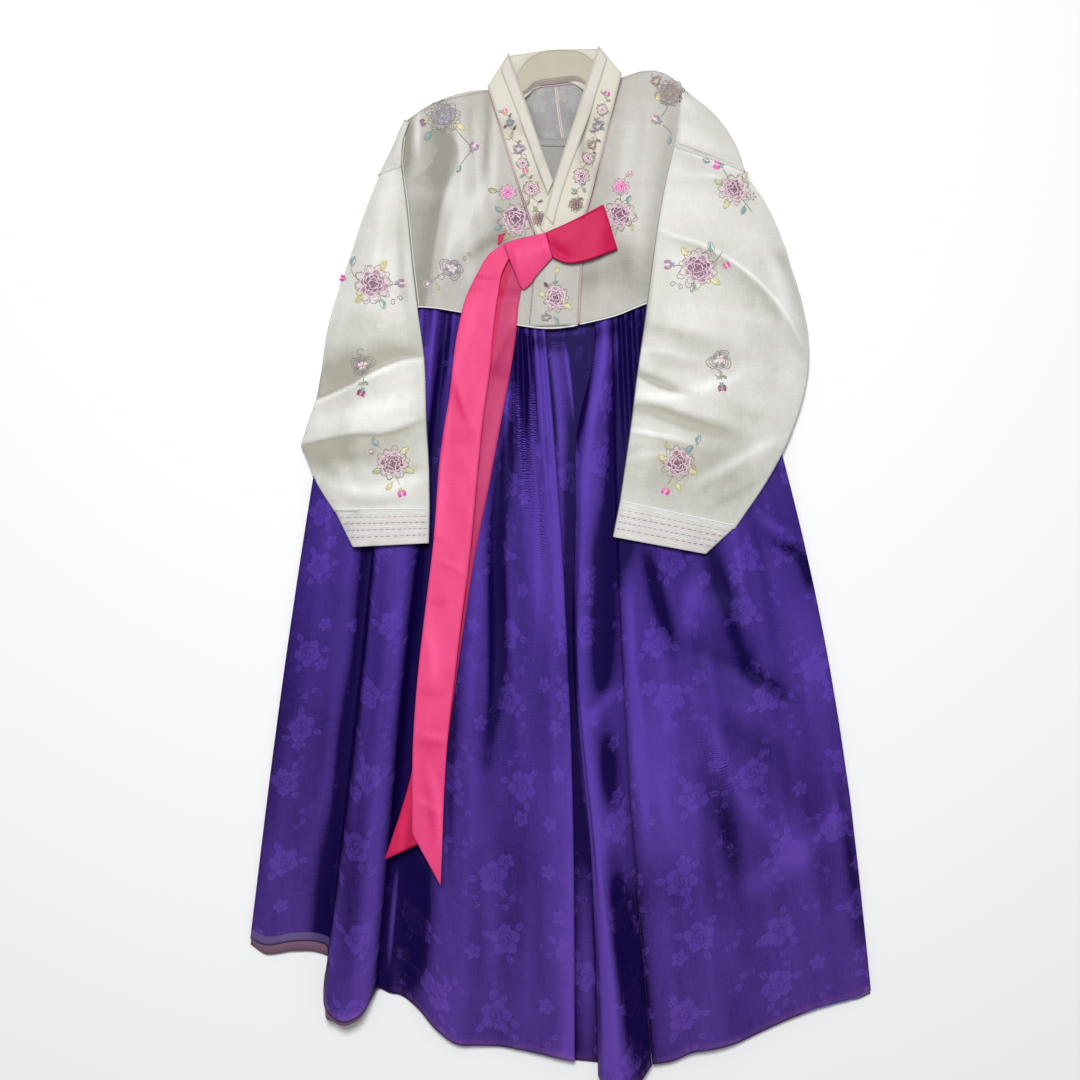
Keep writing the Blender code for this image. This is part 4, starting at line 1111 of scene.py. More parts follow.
FRONT_ROWS = 100
FRONTS = [
    # name, node, top, hem, left edge, right edge, columns, folds, painted shade, cut
    (
        "jacket_right_front", "jeogori_front_right",
        [(-200, 569), (-168, 591.5), (-130, 603), (-91, 611)],
        [(-249, 317), (-181, 329), (-125, 322), (-53, 306), (-20, 302), (20, 305)],
        [(-200, 569), (-206, 546), (-226, 498), (-241, 455), (-247, 400), (-249, 317)],
        [(-91, 611), (-62, 513), (-34, 424), (-8, 370), (20, 305)],
        90, BODY_FOLDS_RIGHT, BODY_PAINTED_SHADE_RIGHT, (290, 310, 0.054),
    ),
    (
        "jacket_left_front", "jeogori_front_left",
        [(81, 627), (108, 635), (124, 635), (150, 622), (164, 604)],
        [(24, 307), (72, 319), (110, 334), (224, 347)],
        [(81, 627), (57, 538), (36, 452), (28, 381), (24, 307)],
        [(164, 604), (196, 571), (223, 528), (232, 500), (235, 460), (231, 400), (224, 347)],
        70, BODY_FOLDS_LEFT, BODY_PAINTED_SHADE_LEFT, (220, 330, 0.048),
    ),
]


def make_jacket_fronts():
    """The two fronts with their folds, and the outer overlap gusset on the left one."""
    for name, node_name, top, hem, left, right, columns, table, shade_bands, sheet in FRONTS:
        plan = between(top, hem, left, right, FRONT_ROWS, columns)
        front, depth = front_cloth(node_name, plan, table, shade_bands)
        panel(name, node_name, front, cream, depth=depth)
    left, right = [(-30, 420), (-35, 359), (-40, 304)], [(31, 420), (27, 381), (23, 306)]
    plan = ruled(left, right, rows=40, columns=22)
    laid_panel("seop", "seop_outer", plan, cream)


NECK = (
    # top, foot, left edge, right edge, rows, columns
    [(-67, 652), (-8, 660), (50, 661)],
    [(-62, 596), (-48, 598), (-31, 613), (17, 619), (34, 607), (52, 598)],
    [(-67, 652), (-62, 596)], [(50, 661), (52, 598)], 20, 50,
)
FACING_FOOT = [
    (-50, 603), (-42, 609), (-34, 616), (-28, 618.5), (-8, 621), (14, 623), (20, 623), (27, 620), (35, 614),
    (44, 607),
]
FACING = (
    # top, foot, left edge, right edge, rows, columns
    [(-56, 626), (-43, 645), (-26, 656), (6, 659), (27, 656), (45, 643)], FACING_FOOT,
    [(-56, 626), (-50, 603)], [(45, 643), (44, 610)], 16, 44,
)
ALLOWANCE_ROWS = 8
COLLAR = [
    # name, node, left edge, right edge, rows, columns, finish, cut
    (
        "git_right_front", "git_right", [(-93, 612), (-62, 515), (-32, 422), (-24, 396)],
        [(-66, 655), (-37, 573), (-8, 491), (8, 446)], 110, 10, collar_band, (45, 235, 0.0086),
    ),
    (
        "git_left_front", "git_left", [(49, 664), (20, 576), (-8, 489), (-26, 428)],
        [(79, 628), (57, 540), (35, 453), (17, 392)], 110, 10, collar_band, (48, 245, 0.0098),
    ),
    (
        "dongjeong_right_front", "dongjeong_right", [(-76, 632), (-44, 549), (-16, 472)],
        [(-66.8, 653.5), (-37.8, 571.5), (-8.8, 489.5)], 80, 6, paper_white, (26, 175, 0.0035),
    ),
    (
        "dongjeong_left_front", "dongjeong_left", [(49.8, 662.5), (20.8, 574.5), (-8.4, 484), (-19, 444)],
        [(60, 646), (37, 573), (-1, 463), (-9, 433)], 90, 6, paper_white, (26, 225, 0.0045),
    ),
]


def make_collar():
    """The neck stretch with its facing and the seam allowance below it, and the two fronts' bands."""
    neck, facing = between(*NECK), between(*FACING)
    laid_panel("git_neck", "git_back", neck, collar_band, 3.0, STIFF)
    height = top_of("dongjeong_back", facing, 3.0)
    share = np.linspace(0, 1, ALLOWANCE_ROWS)[:, None]
    foot = facing[-1]
    # The allowance goes 4 mm down from the facing's foot, drawn in a little, and ends on the back.
    below = foot * (1 - share[..., None]) + (foot * (0.98, 1) - (0, 4)) * share[..., None]
    allowance = raised(below, (height[-1] - 0.8) * (1 - share) + 1.6 * share)
    shell("neck_allowance", allowance, quads_of(*below.shape[:2]), below, neck_allowance, 0.3)
    facing = panel("dongjeong_neck", "dongjeong_back", raised(facing, height), neck_facing, thickness=STIFF)
    for name, node_name, left, right, rows, columns, finish, sheet in COLLAR:
        plan = ruled(left, right, rows, columns)
        laid_panel(name, node_name, plan, finish, 3.0, STIFF)


SLEEVE_LEFT = [
    [
        (-204, 514), (-203, 507), (-196, 455), (-190, 396), (-182, 329), (-173, 260), (-170, 180),
        (-167, 125), (-166, 67),
    ],
    [
        (-228, 504), (-231, 497), (-250, 449), (-271, 384), (-296, 305), (-307, 240), (-312, 214),
        (-323.5, 181), (-328.9, 163), (-331.8, 154), (-331.8, 150.5), (-328.3, 143), (-322.6, 129.5),
        (-313, 106), (-289, 67),
    ],
]
SLEEVE_RIGHT = [
    [
        (148, 541), (146, 534), (135, 490), (124, 430), (117, 380), (111, 335),
        (104, 285), (97, 235), (91, 185), (84, 135), (75.5, 77),
    ],
    [
        (232, 508), (236, 501), (260, 466), (285, 413), (305, 360), (318, 305),
        (320, 262), (313, 217), (298, 172), (272, 118), (224, 45),
    ],
]
FOLDS_SLEEVE_LEFT = [
    # path, width, height, then any lean
    ([(-364, 194), (-310, 214), (-271, 231), (-231, 252), (-201, 263), (-155, 267)], 20, -2.6, 0.85),
    ([(-384, 142), (-330, 152), (-307, 156), (-271, 163), (-224, 165), (-168, 186)], 15, -2.2, -0.85),
    ([(-226, 482), (-232, 418), (-250, 341)], 10, 1.2),
    ([(-200, 431), (-197, 360), (-188, 302)], 8, -1.0),
    ([(-212, 106), (-191, 114), (-175, 124)], 6, -1.0, 0.7),
]
PAINTED_SHADE_SLEEVE_LEFT = [
    # path, width, painted shade there (a painted highlight where negative), then any lean
    ([(-364, 194), (-310, 214), (-271, 231), (-231, 252), (-201, 263), (-155, 267)], 20, 1.15, 0.85),
    ([(-364, 188), (-308, 209), (-270, 226), (-230, 246), (-201, 258), (-155, 262)], 3, -0.8),
    ([(-335, 227), (-290, 240), (-255, 255)], 14, 0.35),
    ([(-335, 175), (-258, 194), (-168, 214)], 14, -0.5),
    ([(-384, 142), (-330, 152), (-307, 156), (-271, 163), (-224, 165), (-168, 186)], 16, 1.1, -0.85),
    ([(-335, 132), (-271, 137), (-206, 144)], 9, 0.3),
    ([(-310, 106), (-245, 95), (-168, 111)], 8, -0.45),
    ([(-209, 116), (-191, 116), (-168, 121)], 6, 0.4, 0.8),
    ([(-271, 328), (-255, 307), (-232, 315)], 14, 0.25),
    ([(-206, 470), (-204, 392), (-196, 315)], 5, 0.3),
    ([(-226, 503), (-213, 507), (-201, 511)], 2.5, -0.6),
    ([(-297, 83), (-245, 79), (-174, 83)], 5, 0.3),
]
FOLDS_SLEEVE_RIGHT = [
    # path, width, height, then any lean
    ([(147, 537), (194, 517), (239, 506)], 10, 0.6),
    ([(135, 495), (187, 498), (258, 476)], 9, -1.0, 0.8),
    ([(116, 431), (129, 423), (186, 401), (236, 370), (286, 313), (310, 276)], 12, -0.6, -0.8),
    ([(75, 255), (101, 241), (121, 232), (139, 224), (175, 218)], 6, -1.2, 0.5),
    ([(67, 201), (98, 201), (121, 196), (144, 188), (181, 175), (226, 163)], 9, -1.6),
    ([(88, 170), (129, 164), (181, 155)], 5, 1.2, 0.5),
    ([(205, 112), (245, 101)], 6, -0.5),
]
PAINTED_SHADE_SLEEVE_RIGHT = [
    # path, width, painted shade there (a painted highlight where negative), then any lean
    ([(147, 534), (194, 515), (239, 503)], 2.5, -0.6),
    ([(135, 494), (187, 497), (258, 475)], 2.5, -0.5),
    ([(135, 488), (187, 489), (258, 467)], 9, 0.25),
    ([(116, 431), (129, 423), (186, 401), (236, 370), (286, 313), (310, 276)], 13, 0.5, -0.85),
    ([(116, 435), (129, 427), (186, 406), (236, 375), (289, 319), (310, 281)], 1.8, -0.6),
    ([(132, 405), (155, 390), (186, 353)], 14, -0.3),
    ([(116, 390), (111, 341), (103, 276)], 6, 0.45),
    ([(83, 307), (129, 299), (181, 283)], 10, 0.4),
    ([(83, 273), (129, 273), (181, 261)], 4, -0.4),
    ([(75, 255), (101, 241), (121, 232), (139, 224), (175, 218)], 6, 1.2, 0.4),
    ([(77, 214), (135, 215), (186, 227), (245, 248)], 8, -0.6),
    ([(67, 201), (98, 201), (121, 196), (144, 188), (181, 175), (226, 163)], 10, 1.1),
    ([(80, 174), (129, 164), (181, 152)], 2.5, -1.0),
    ([(52, 116), (142, 116), (258, 132)], 52, 0.6),
    ([(160, 98), (219, 129), (284, 165)], 7, -0.7),
    ([(181, 67), (232, 93), (263, 114)], 6, 0.35),
    ([(77, 132), (116, 141), (168, 137)], 5, -0.4),
    ([(284, 302), (297, 237), (284, 173)], 18, -0.35),
    ([(206, 212), (232, 191), (271, 183)], 12, 0.25),
]
SLEEVE_ROWS, CUFF_ROW_COUNT = 150, 30
CUFF_LEFT = [(-166, 71), (-167, 27)], [(-290, 70), (-265, 22)]
CUFF_RIGHT = [(76, 81), (67, 35)], [(226, 49), (187, 13)]


def make_sleeves():
    """Both sleeves, and the cuffs that start beneath their ends."""
    for side, edges, columns, table, shade_bands, sheet in (
        ("left", SLEEVE_LEFT, 56, FOLDS_SLEEVE_LEFT, PAINTED_SHADE_SLEEVE_LEFT, (300, 470, 0.106)),
        ("right", SLEEVE_RIGHT, 64, FOLDS_SLEEVE_RIGHT, PAINTED_SHADE_SLEEVE_RIGHT, (420, 490, 0.165)),
    ):
        names, grid = (f"{side}_sleeve", f"sleeve_{side}"), (*edges, SLEEVE_ROWS, columns)
        tube = pressed_tube(*names, *grid, cream_sleeve, table, shade_bands, under_turn=1.2)
    for side, edges, columns, sheet in (
        ("left", CUFF_LEFT, 60, (250, 50, 0.0105)), ("right", CUFF_RIGHT, 64, (300, 52, 0.0125))
    ):
        names, grid = (f"{side}_cuff", f"cuff_{side}"), (*edges, CUFF_ROW_COUNT, columns)
        tube = pressed_tube(*names, *grid, cuff_white, thickness=STIFF, joined=f"{side}_sleeve")


# ---------------------------------------------------------------- the ribbon


BACK_TAIL = np.array([
    # outer_x, outer_y, inner_x, inner_y
    (-86, 360, -50, 348),
    (-104, 282, -57, 288),
    (-124, 168, -77, 175),
    (-136, 100, -90, 106),
    (-154, 0, -110, 5),
    (-166, -110, -126, -100),
    (-178, -210, -140, -200),
    (-194, -284, -152, -280),
    (-223, -375, -172, -352),
])
FRONT_TAIL = np.array([
    # outer_x, outer_y, inner_x, inner_y
    (-71.3, 409, -65.3, 390),
    (-92, 394, -74, 372),
    (-105, 372, -79, 345),
    (-120, 341, -84, 310),
    (-130, 302, -89, 255),
    (-142, 212, -99, 181),
    (-152, 148, -105, 120),
    (-162, 25, -116, 5),
    (-172, -58, -125, -64),
    (-181, -138, -134, -140),
    (-187, -221, -143, -221),
    (-188, -342, -152, -408),
])
FOLDS_FRONT_TAIL = [
    # path, width, height, then any lean
    ([(-108, 369), (-80, 367)], 2.5, 1.0, 0.4),
    ([(-112, 353), (-80, 351)], 2.5, 1.0, -0.4),
    ([(-135, 237), (-116, 179)], 6, 2.0, 0.4),
    ([(-152, 165), (-104, 158)], 3.5, 1.5),
    ([(-163, 10), (-118, -14)], 3, 1.0, 0.3),
    ([(-181, -215), (-136, -226)], 3.5, 1.5),
    ([(-186, -300), (-150, -316)], 4, 1.4, 0.3),
    ([(-136, 250), (-150, 120), (-168, -40)], 7, 1.0),
]
PAINTED_SHADE_BACK_TAIL = [
    # path, width, painted shade there (a painted highlight where negative), then any lean
    ([(-59, 308), (-75, 273), (-90, 240)], 6, 1.0, 0.6),
    ([(-71, 224), (-88, 160), (-101, 83)], 7, -0.6),
    ([(-52, 341), (-58, 317), (-67, 295)], 6, -0.5),
    ([(-116, 57), (-121, 25), (-126, -8)], 4, 0.8, 0.5),
    ([(-111, 83), (-126, -8), (-137, -98)], 3, 0.6),
    ([(-194, -304), (-201, -343), (-204, -382)], 4, -1.0),
    ([(-183, -304), (-191, -343), (-195, -369)], 5, 0.9),
]
PAINTED_SHADE_FRONT_TAIL = [
    # path, width, painted shade there (a painted highlight where negative), then any lean
    ([(-135, 240), (-125, 209), (-114, 178)], 7, 0.7, -0.7),
    ([(-144, 163), (-123, 160), (-103, 163)], 5, 0.8, 0.7),
    ([(-165, 35), (-155, 32), (-146, 30)], 3, 0.6),
    ([(-106, 341), (-119, 295), (-132, 250)], 7, -0.5),
    ([(-126, 365), (-106, 366), (-81, 365)], 2.2, 0.9, 0.4),
    ([(-129, 351), (-108, 350), (-93, 350)], 2.2, 0.7, 0.4),
    ([(-173, -46), (-155, -52), (-139, -49)], 6, 0.5, 0.7),
    ([(-181, -163), (-160, -168), (-144, -163)], 7, 0.6, 0.7),
    ([(-184, -221), (-165, -228), (-147, -224)], 7, 0.7, -0.7),
    ([(-168, -72), (-160, -117), (-160, -157)], 7, -0.6),
    ([(-147, 134), (-150, 83), (-155, 5)], 8, -0.5),
    ([(-175, -253), (-168, -304), (-159, -356)], 6, 0.5, 0.4),
    ([(-163, -259), (-155, -304), (-151, -369)], 5, -0.6),
]
TUCKED = [(-66, 392, -42, 374), (-78, 377, -46, 361)]  # the back tail's start, beneath the knot
KNOT_END = 352  # where the back tail comes out from beneath the knot


def make_tails():
    """The two free tails. The back one starts beneath the knot, where it lies close on the jacket."""
    back = np.array([*TUCKED, *BACK_TAIL])
    plan = ruled(back[:, :2], back[:, 2:], rows=190, columns=14)
    y = plan[..., 1]
    on_jacket = height_on(ground_of(["jacket_right_front", "seop"], 4.0), plan) + 0.7
    shown = np.clip((KNOT_END - y) / 14, 0, 1)
    height = on_jacket * (1 - shown) + top_of("goreum_back_tail", plan) * shown
    tail = raised(plan, height)
    x, y, _ = np.moveaxis((tail[:-1, :-1] + tail[1:, 1:]) / 2, -1, 0)
    # Painted shadow: the deeper pink lies beneath the front tail and on a strip past its edge, wider towards
    # the knot, where the front tail shades the back one.
    under_front = np.interp(-y, -FRONT_TAIL[:, 3], FRONT_TAIL[:, 2])
    shade_width = np.interp(y, [255, 330, 390], [0.0, 7.0, 10.0])
    kinds = np.where(x < under_front + shade_width, 1, 0).ravel()
    depth = depth_in_folds(tail, [tail], reach=20.0, full=6.0, shade_bands=PAINTED_SHADE_BACK_TAIL)
    finish = [pink_sheer, pink_folded_and_shaded]
    panel("ribbon_back_tail", "goreum_back_tail", tail, finish, kinds=kinds, depth=depth)
    plan = ruled(FRONT_TAIL[:, :2], FRONT_TAIL[:, 2:], rows=200, columns=18)
    height = top_of("goreum_front_tail", plan) + folds(plan, FOLDS_FRONT_TAIL)
    tail = raised(plan, height + 0.5 * noise(plan[..., 0] / 14, plan[..., 1] / 30, 41))
    depth = depth_in_folds(tail, [tail], reach=20.0, full=3.0, shade_bands=PAINTED_SHADE_FRONT_TAIL)
    panel("ribbon_front_tail", "goreum_front_tail", tail, pink, depth=depth)


LOOP_PEEK = 4.0  # by which the loop's lower layer shows above its upper one, at the far end
LOOP_ROWS, LOOP_COLUMNS = 34, 24
LOOP_TOP = [(-19 + SEAM, 422), (20, 438), (54, 454)]
LOOP_FOOT = [(-10 + SEAM, 391), (0, 386), (8, 383.5), (22, 384), (37, 387.5), (52, 393), (71, 401)]
KNOT_TOP = [(-71, 409), (-60, 412.5), (-19, 422)]
KNOT_FOOT = [(-65, 390), (-57, 370), (-50, 354), (-47, 350.5), (-43, 353), (-28, 371), (-10, 391)]
KNOT_FOLDS = [([(-60, 408), (-52, 360)], 5, 1.2, 0.3), ([(-30, 416), (-22, 380)], 5, 1.0)]


def make_bow():
    """The loop is folded at its far end, its lower layer showing along the top; the knot wraps its start."""
    plan = ruled(LOOP_TOP, LOOP_FOOT, LOOP_ROWS, LOOP_COLUMNS)
    peek = LOOP_PEEK * np.linspace(0, 1, LOOP_ROWS)[:, None] * np.linspace(1, 0, LOOP_COLUMNS)
    lower = raised(plan + peek[..., None] * np.array([-0.3, 1.0]), under_of("goreum_loop", plan, 3.0))
    pinch = fold(plan, [(-16, 412), (-2, 396), (14, 388)], 5, -2.6, 0.3)
    upper = raised(plan, np.maximum(top_of("goreum_loop", plan, 3.0) + pinch, lower[..., 2] + 1.0))[::-1]
    angle = np.linspace(0, math.pi, 9)[1:-1, None, None]
    share = 0.5 - 0.5 * np.cos(angle)
    turn = lower[-1] * (1 - share) + upper[0] * share + np.array([2.4, 0.4, 0]) * np.sin(angle)
    loop = np.concatenate([lower, turn, upper])
    run, rise = np.meshgrid(np.arange(len(loop)) * 3.0, np.linspace(0, 50, LOOP_COLUMNS), indexing="ij")
    obj = panel("ribbon_loop", "goreum_loop", loop, pink_folded_and_shaded, np.stack([run, rise], axis=2))
    plan = ruled([(-79, 421), (-80, 408)], [(-70, 424), (-74.5, 411.5)], rows=10, columns=8)
    laid_panel("ribbon_end", "goreum_end", plan, pink_folded_and_shaded, 3.0)
    obj = pressed_tube("ribbon_knot", "goreum_knot", KNOT_TOP, KNOT_FOOT, 36, 36, pink, KNOT_FOLDS, full=20.0)


# ---------------------------------------------------------------- embroidery and trim


def silk_thread(name, dark, light):
    """Loosely twisted silk embroidery thread, in satin stitch and stem stitch. It gives the eye glossy
    parallel strands. Real strands are 0.2 mm apart; they are drawn 0.7 mm apart, so that they show."""
    made, tree, shader, place = fresh(name)
    strand = slubs(tree, place, 0.7, 9)
    mix = node(tree, "ShaderNodeMix", {"data_type": "RGBA"}, i0=strand, i6=linear(dark), i7=linear(light))
    tree.links.new(mix.outputs[2], shader.inputs["Base Color"])
    bump = node(tree, "ShaderNodeBump", Height=strand, Strength=0.5, Distance=0.0004)
    tree.links.new(bump.outputs[0], shader.inputs["Normal"])
    shader.inputs["Roughness"].default_value = 0.38
    shader.inputs["Sheen Weight"].default_value = 0.2
    return made


DYES = {
    # name: darkest and lightest strand
    "plum": ("#623450", "#8d6079"),
    "mauve": ("#875f79", "#b590a3"),
    "blush": ("#e0c0c9", "#f6e5e8"),
    "magenta": ("#b01f86", "#e35db4"),
    "candy": ("#e58ac0", "#fbcfe6"),
    "rose": ("#c2637f", "#e79bb0"),
    "olive": ("#a3a05c", "#cfcd97"),
    "teal": ("#54827f", "#93bab3"),
    "slate": ("#727388", "#a6a8b8"),
    "taupe": ("#857468", "#b3a392"),
    "straw": ("#d0c288", "#efe6bf"),
    "ivory": ("#dedbd4", "#f6f4ef"),
}
THREADS = {dye: silk_thread(f"silk thread, {dye}", *tones) for dye, tones in DYES.items()}
ORDER = list(DYES)

PATCH_ROWS, PATCH_COLUMNS = 6, 5  # of a satin stitch patch
PATH_POINTS = 12  # of a thread
THREAD_SIDES = 5


def turned(points, angle):
    """Points of a plan turned about the origin, by an angle in radians."""
    c, s = math.cos(angle), math.sin(angle)
    return np.asarray(points, float) @ np.array([[c, s], [-s, c]])


def half_width(width, t, blunt=0.7):
    """Half the width of a leaf-shaped petal at a share of its length: a sine over the length, raised to a
    power that makes it blunt."""
    return width / 2 * np.sin(math.pi * np.clip(0.04 + 0.9 * t**0.8, 0, 1)) ** blunt


def satin(dye, angle, start, end, width, lift=0.0, bend=0.0, blunt=0.7):
    """A petal-shaped patch of satin stitch, pointing out from a flower's middle, domed across and bowed
    sideways at its middle."""
    t = np.linspace(0, 1, PATCH_ROWS)[:, None]
    s = np.linspace(-1, 1, PATCH_COLUMNS)[None, :]
    half = half_width(width, t, blunt)
    run = start + (end - start) * t * (1 - 0.06 * s**2)
    side = s * half + bend * np.sin(math.pi * t)
    plan = turned(np.stack([run + 0 * side, side], axis=-1), angle)
    dome = (0.25 + 0.55 * (1 - s**2)) * np.sin(math.pi * (0.06 + 0.88 * t)) ** 0.4 - 0.15 + lift
    return "satin", dye, plan, dome + 0 * side


def stitch(dye, path, thick=0.5, lift=0.3):
    """A thread couched along a smooth path."""
    return "stitch", dye, along(path, PATH_POINTS), thick, lift


def outline(dye, angle, start, end, width, thick, lift, bend=0.0, wavy=0.0):
    """A thread round the outer part of a satin patch of the same measures."""
    s = np.linspace(-1, 1, PATH_POINTS)
    t = 1 - 0.78 * np.abs(s) ** 1.5
    half = half_width(width, t)
    run = start + (end - start) * t + wavy * np.cos(3 * math.pi * s)
    side = np.sign(s) * half * 1.08 + bend * np.sin(math.pi * t)
    return "stitch", dye, turned(np.stack([run + 0.5, side], axis=-1), angle), thick, lift


def rose(radius, chance, inner="plum", outer="mauve", edge="blush", rim="mauve"):
    """A full rose: three rings of turned petals in satin stitch, darker towards the heart and each edged
    with a pale thread, inside three rings of scalloped petals drawn with a thread alone."""
    items = []
    for count, start, end, width, dye, lift in (
        (8, 0.36, 0.86, 0.56, outer, 0.0), (7, 0.12, 0.6, 0.46, inner, 0.3), (4, -0.04, 0.3, 0.3, inner, 0.5)
    ):
        turn = chance.uniform(0, math.pi)
        for i in range(count):
            angle = turn + 2 * math.pi * i / count + chance.uniform(-0.14, 0.14)
            size = radius * chance.uniform(0.88, 1.1)
            shape = (angle, start * size, end * size, width * size)
            bend = chance.uniform(-0.1, 0.1) * radius
            items.append(satin(dye if chance.random() < 0.7 else inner, *shape, lift=lift, bend=bend))
            wide = (angle, start * size, end * size, 1.28 * width * size)
            items.append(outline(edge, *wide, 0.56, lift + 0.5, bend, 0.03 * radius))
    rings = ((9, 0.56, 1.02, 0.44, edge), (8, 0.66, 1.14, 0.5, rim), (10, 0.76, 1.26, 0.44, "taupe"))
    for ring, (count, start, end, width, dye) in enumerate(rings):
        for i in range(count):
            angle = turn + 2 * math.pi * (i + 0.4 * ring + chance.uniform(-0.15, 0.15)) / count
            size = radius * chance.uniform(0.9, 1.08)
            shape = (angle, start * size, end * size, width * size)
            items.append(outline(dye, *shape, 0.42, 0.2, wavy=0.03 * radius))
    return items


def drawn_flower(radius, chance, edge="taupe", heart="slate"):
    """A flower in outline only: five petals, each drawn with threads one inside another, a pale patch in
    each, and a curled tendril whose radius shrinks with its angle."""
    items = []
    for turn, reach in ((0.2, 1.0), (1.35, 0.72), (2.6, 0.92), (3.8, 0.8), (5.1, 0.6)):
        turn += chance.uniform(-0.15, 0.15)
        for share, dye in ((1.0, edge), (0.76, heart), (0.54, edge)):
            size = share * reach * radius
            shape = (turn, 0.1 * size, size, 0.8 * size)
            items.append(outline(dye, *shape, 0.48, 0.35, 0.1 * radius, 0.03 * radius))
        patch = (turn, 0.1 * radius, 0.4 * reach * radius, 0.24 * radius)
        items.append(satin("blush", *patch, lift=0.1, bend=0.1 * radius))
    angle = np.linspace(0, 1.9 * math.pi, PATH_POINTS)[:, None]
    curl = (0.34 - 0.045 * angle) * np.concatenate([np.cos(angle), np.sin(angle)], axis=1) + (0.0, 1.0)
    items.append(("stitch", heart, curl * radius, 0.45, 0.35))
    return items


def bud(radius, dye="magenta", light="candy", leaf="olive"):
    """A closed bud: three petals, a light one between them, and two sepals at the stem's end."""
    radius = 1.2 * radius
    items = [satin(dye, 0.5, 0, radius, 0.75 * radius), satin(dye, -0.5, 0, radius, 0.75 * radius)]
    items.append(satin(light, 0, 0.2 * radius, 0.9 * radius, 0.34 * radius, lift=0.4))
    sepal = (-0.3 * radius, 0.45 * radius, 0.3 * radius)
    items += [satin(leaf, math.pi + turn, *sepal, lift=0.3) for turn in (0.6, -0.6)]
    items.append(outline("blush", 0, 0.1 * radius, 1.1 * radius, 1.1 * radius, 0.32, 0.4))
    return items


def leaf_edge(dye, length, width, bend):
    """A thread all round a pointed leaf, out along one side and back along the other."""
    s = np.linspace(-1, 1, PATH_POINTS)
    t = 1 - np.abs(s)
    side = np.sign(s) * width / 2 * np.sin(math.pi * t) + bend * np.sin(math.pi * t)
    return "stitch", dye, np.stack([length * 1.04 * t, side], axis=-1), 0.42, 0.4


def leaf(length, dye="straw", edge="olive"):
    """A pointed leaf in two tones with its vein."""
    length = 1.2 * length
    items = [satin(dye, 0.0, 0, length, 0.42 * length, bend=0.06 * length, blunt=1.1)]
    items.append(leaf_edge(edge, length, 0.5 * length, 0.06 * length))
    vein = [(-0.25 * length, 0), (0.3 * length, 0.05 * length), (0.9 * length, 0)]
    items.append(stitch(edge, vein, 0.3, 0.75))
    return items


def open_leaf(length, dye="teal"):
    """A leaf in outline with a vein, one half of it filled."""
    length = 1.2 * length
    items = [leaf_edge(dye, length, 0.5 * length, 0.08 * length)]
    vein = [(-0.25 * length, 0), (0.5 * length, 0.08 * length), (0.95 * length, 0)]
    items.append(stitch(dye, vein, 0.34, 0.5))
    items.append(satin(dye, 0.0, 0.15 * length, 0.9 * length, 0.2 * length, bend=0.17 * length))
    return items


VINE_STEP = 8.5  # between the leaves of a vine
VINE_DYES = ["slate", "olive", "taupe", "mauve", "teal", "plum", "straw"]


def vine(points, chance):
    """A winding stem from its place, with a small leaf at every turn, on alternate sides."""
    points = [(0, 0), *points]
    length = np.linalg.norm(np.diff(np.asarray(points, float), axis=0), axis=1).sum()
    line = along(points, int(length / VINE_STEP) + 2)
    items = []
    for i, (start, end) in enumerate(zip(line[:-1], line[1:])):
        ahead = end - start
        side = np.array([-ahead[1], ahead[0]]) * (0.3 if i % 2 else -0.3)
        turn = start + ahead / 2 + side
        items.append(stitch("taupe", [start, turn, end], 0.42))
        angle = math.atan2(side[1], side[0]) + chance.uniform(-0.6, 0.6)
        dye = VINE_DYES[chance.integers(len(VINE_DYES))]
        size = chance.uniform(4.2, 6.6)
        _, _, plan, dome = satin(dye, angle, 0, size, 0.55 * size)
        items.append(("satin", dye, plan + turn, dome))
        edge = turned([(0, 1), (size, 1.5), (size + 1, 0), (size, -1.5)], angle)
        items.append(stitch("taupe", turn + edge, 0.3, 0.5))
    return items


def sprig(length, dye="rose"):
    """A twig of small buds on short stalks."""
    items = [stitch("taupe", [(0, 0), (0.5 * length, 0.08 * length), (length, 0)], 0.3)]
    for share, side in ((0.35, 1), (0.5, -1), (0.68, 1), (0.85, -1), (1.0, 0.3)):
        foot = np.array([share * length, 0.05 * length])
        tip = foot + np.array([0.2 * length, 0.26 * side * length])
        items.append(stitch("taupe", [foot, (foot + tip) / 2, tip], 0.26))
        _, _, plan, dome = satin(dye, 0.8 * side, -0.06 * length, 0.12 * length, 0.13 * length)
        items.append(("satin", dye, plan + tip, dome))
    return items


def scroll(size):
    """Two spirals that run out of one stem: the radius shrinks evenly with the angle."""
    items = []
    for side in (1, -1):
        angle = np.linspace(0, 2.4 * math.pi, PATH_POINTS)
        radius = 0.5 * size * (1 - angle / (2.9 * math.pi))
        x = size * 0.55 * side + radius * np.cos(angle) * -side
        items.append(("stitch", "taupe", np.stack([x, radius * np.sin(angle)], axis=-1), 0.5, 0.3))
    return items


def stem(points, dye="taupe"):
    """A stem in stem stitch from its place through points measured from there."""
    return [stitch(dye, [(0, 0), *points], 0.55)]


UNEVEN = {"rose": rose, "drawn": drawn_flower}  # motifs whose petals vary
EVEN = {"bud": bud, "leaf": leaf, "open": open_leaf, "sprig": sprig, "scroll": scroll}
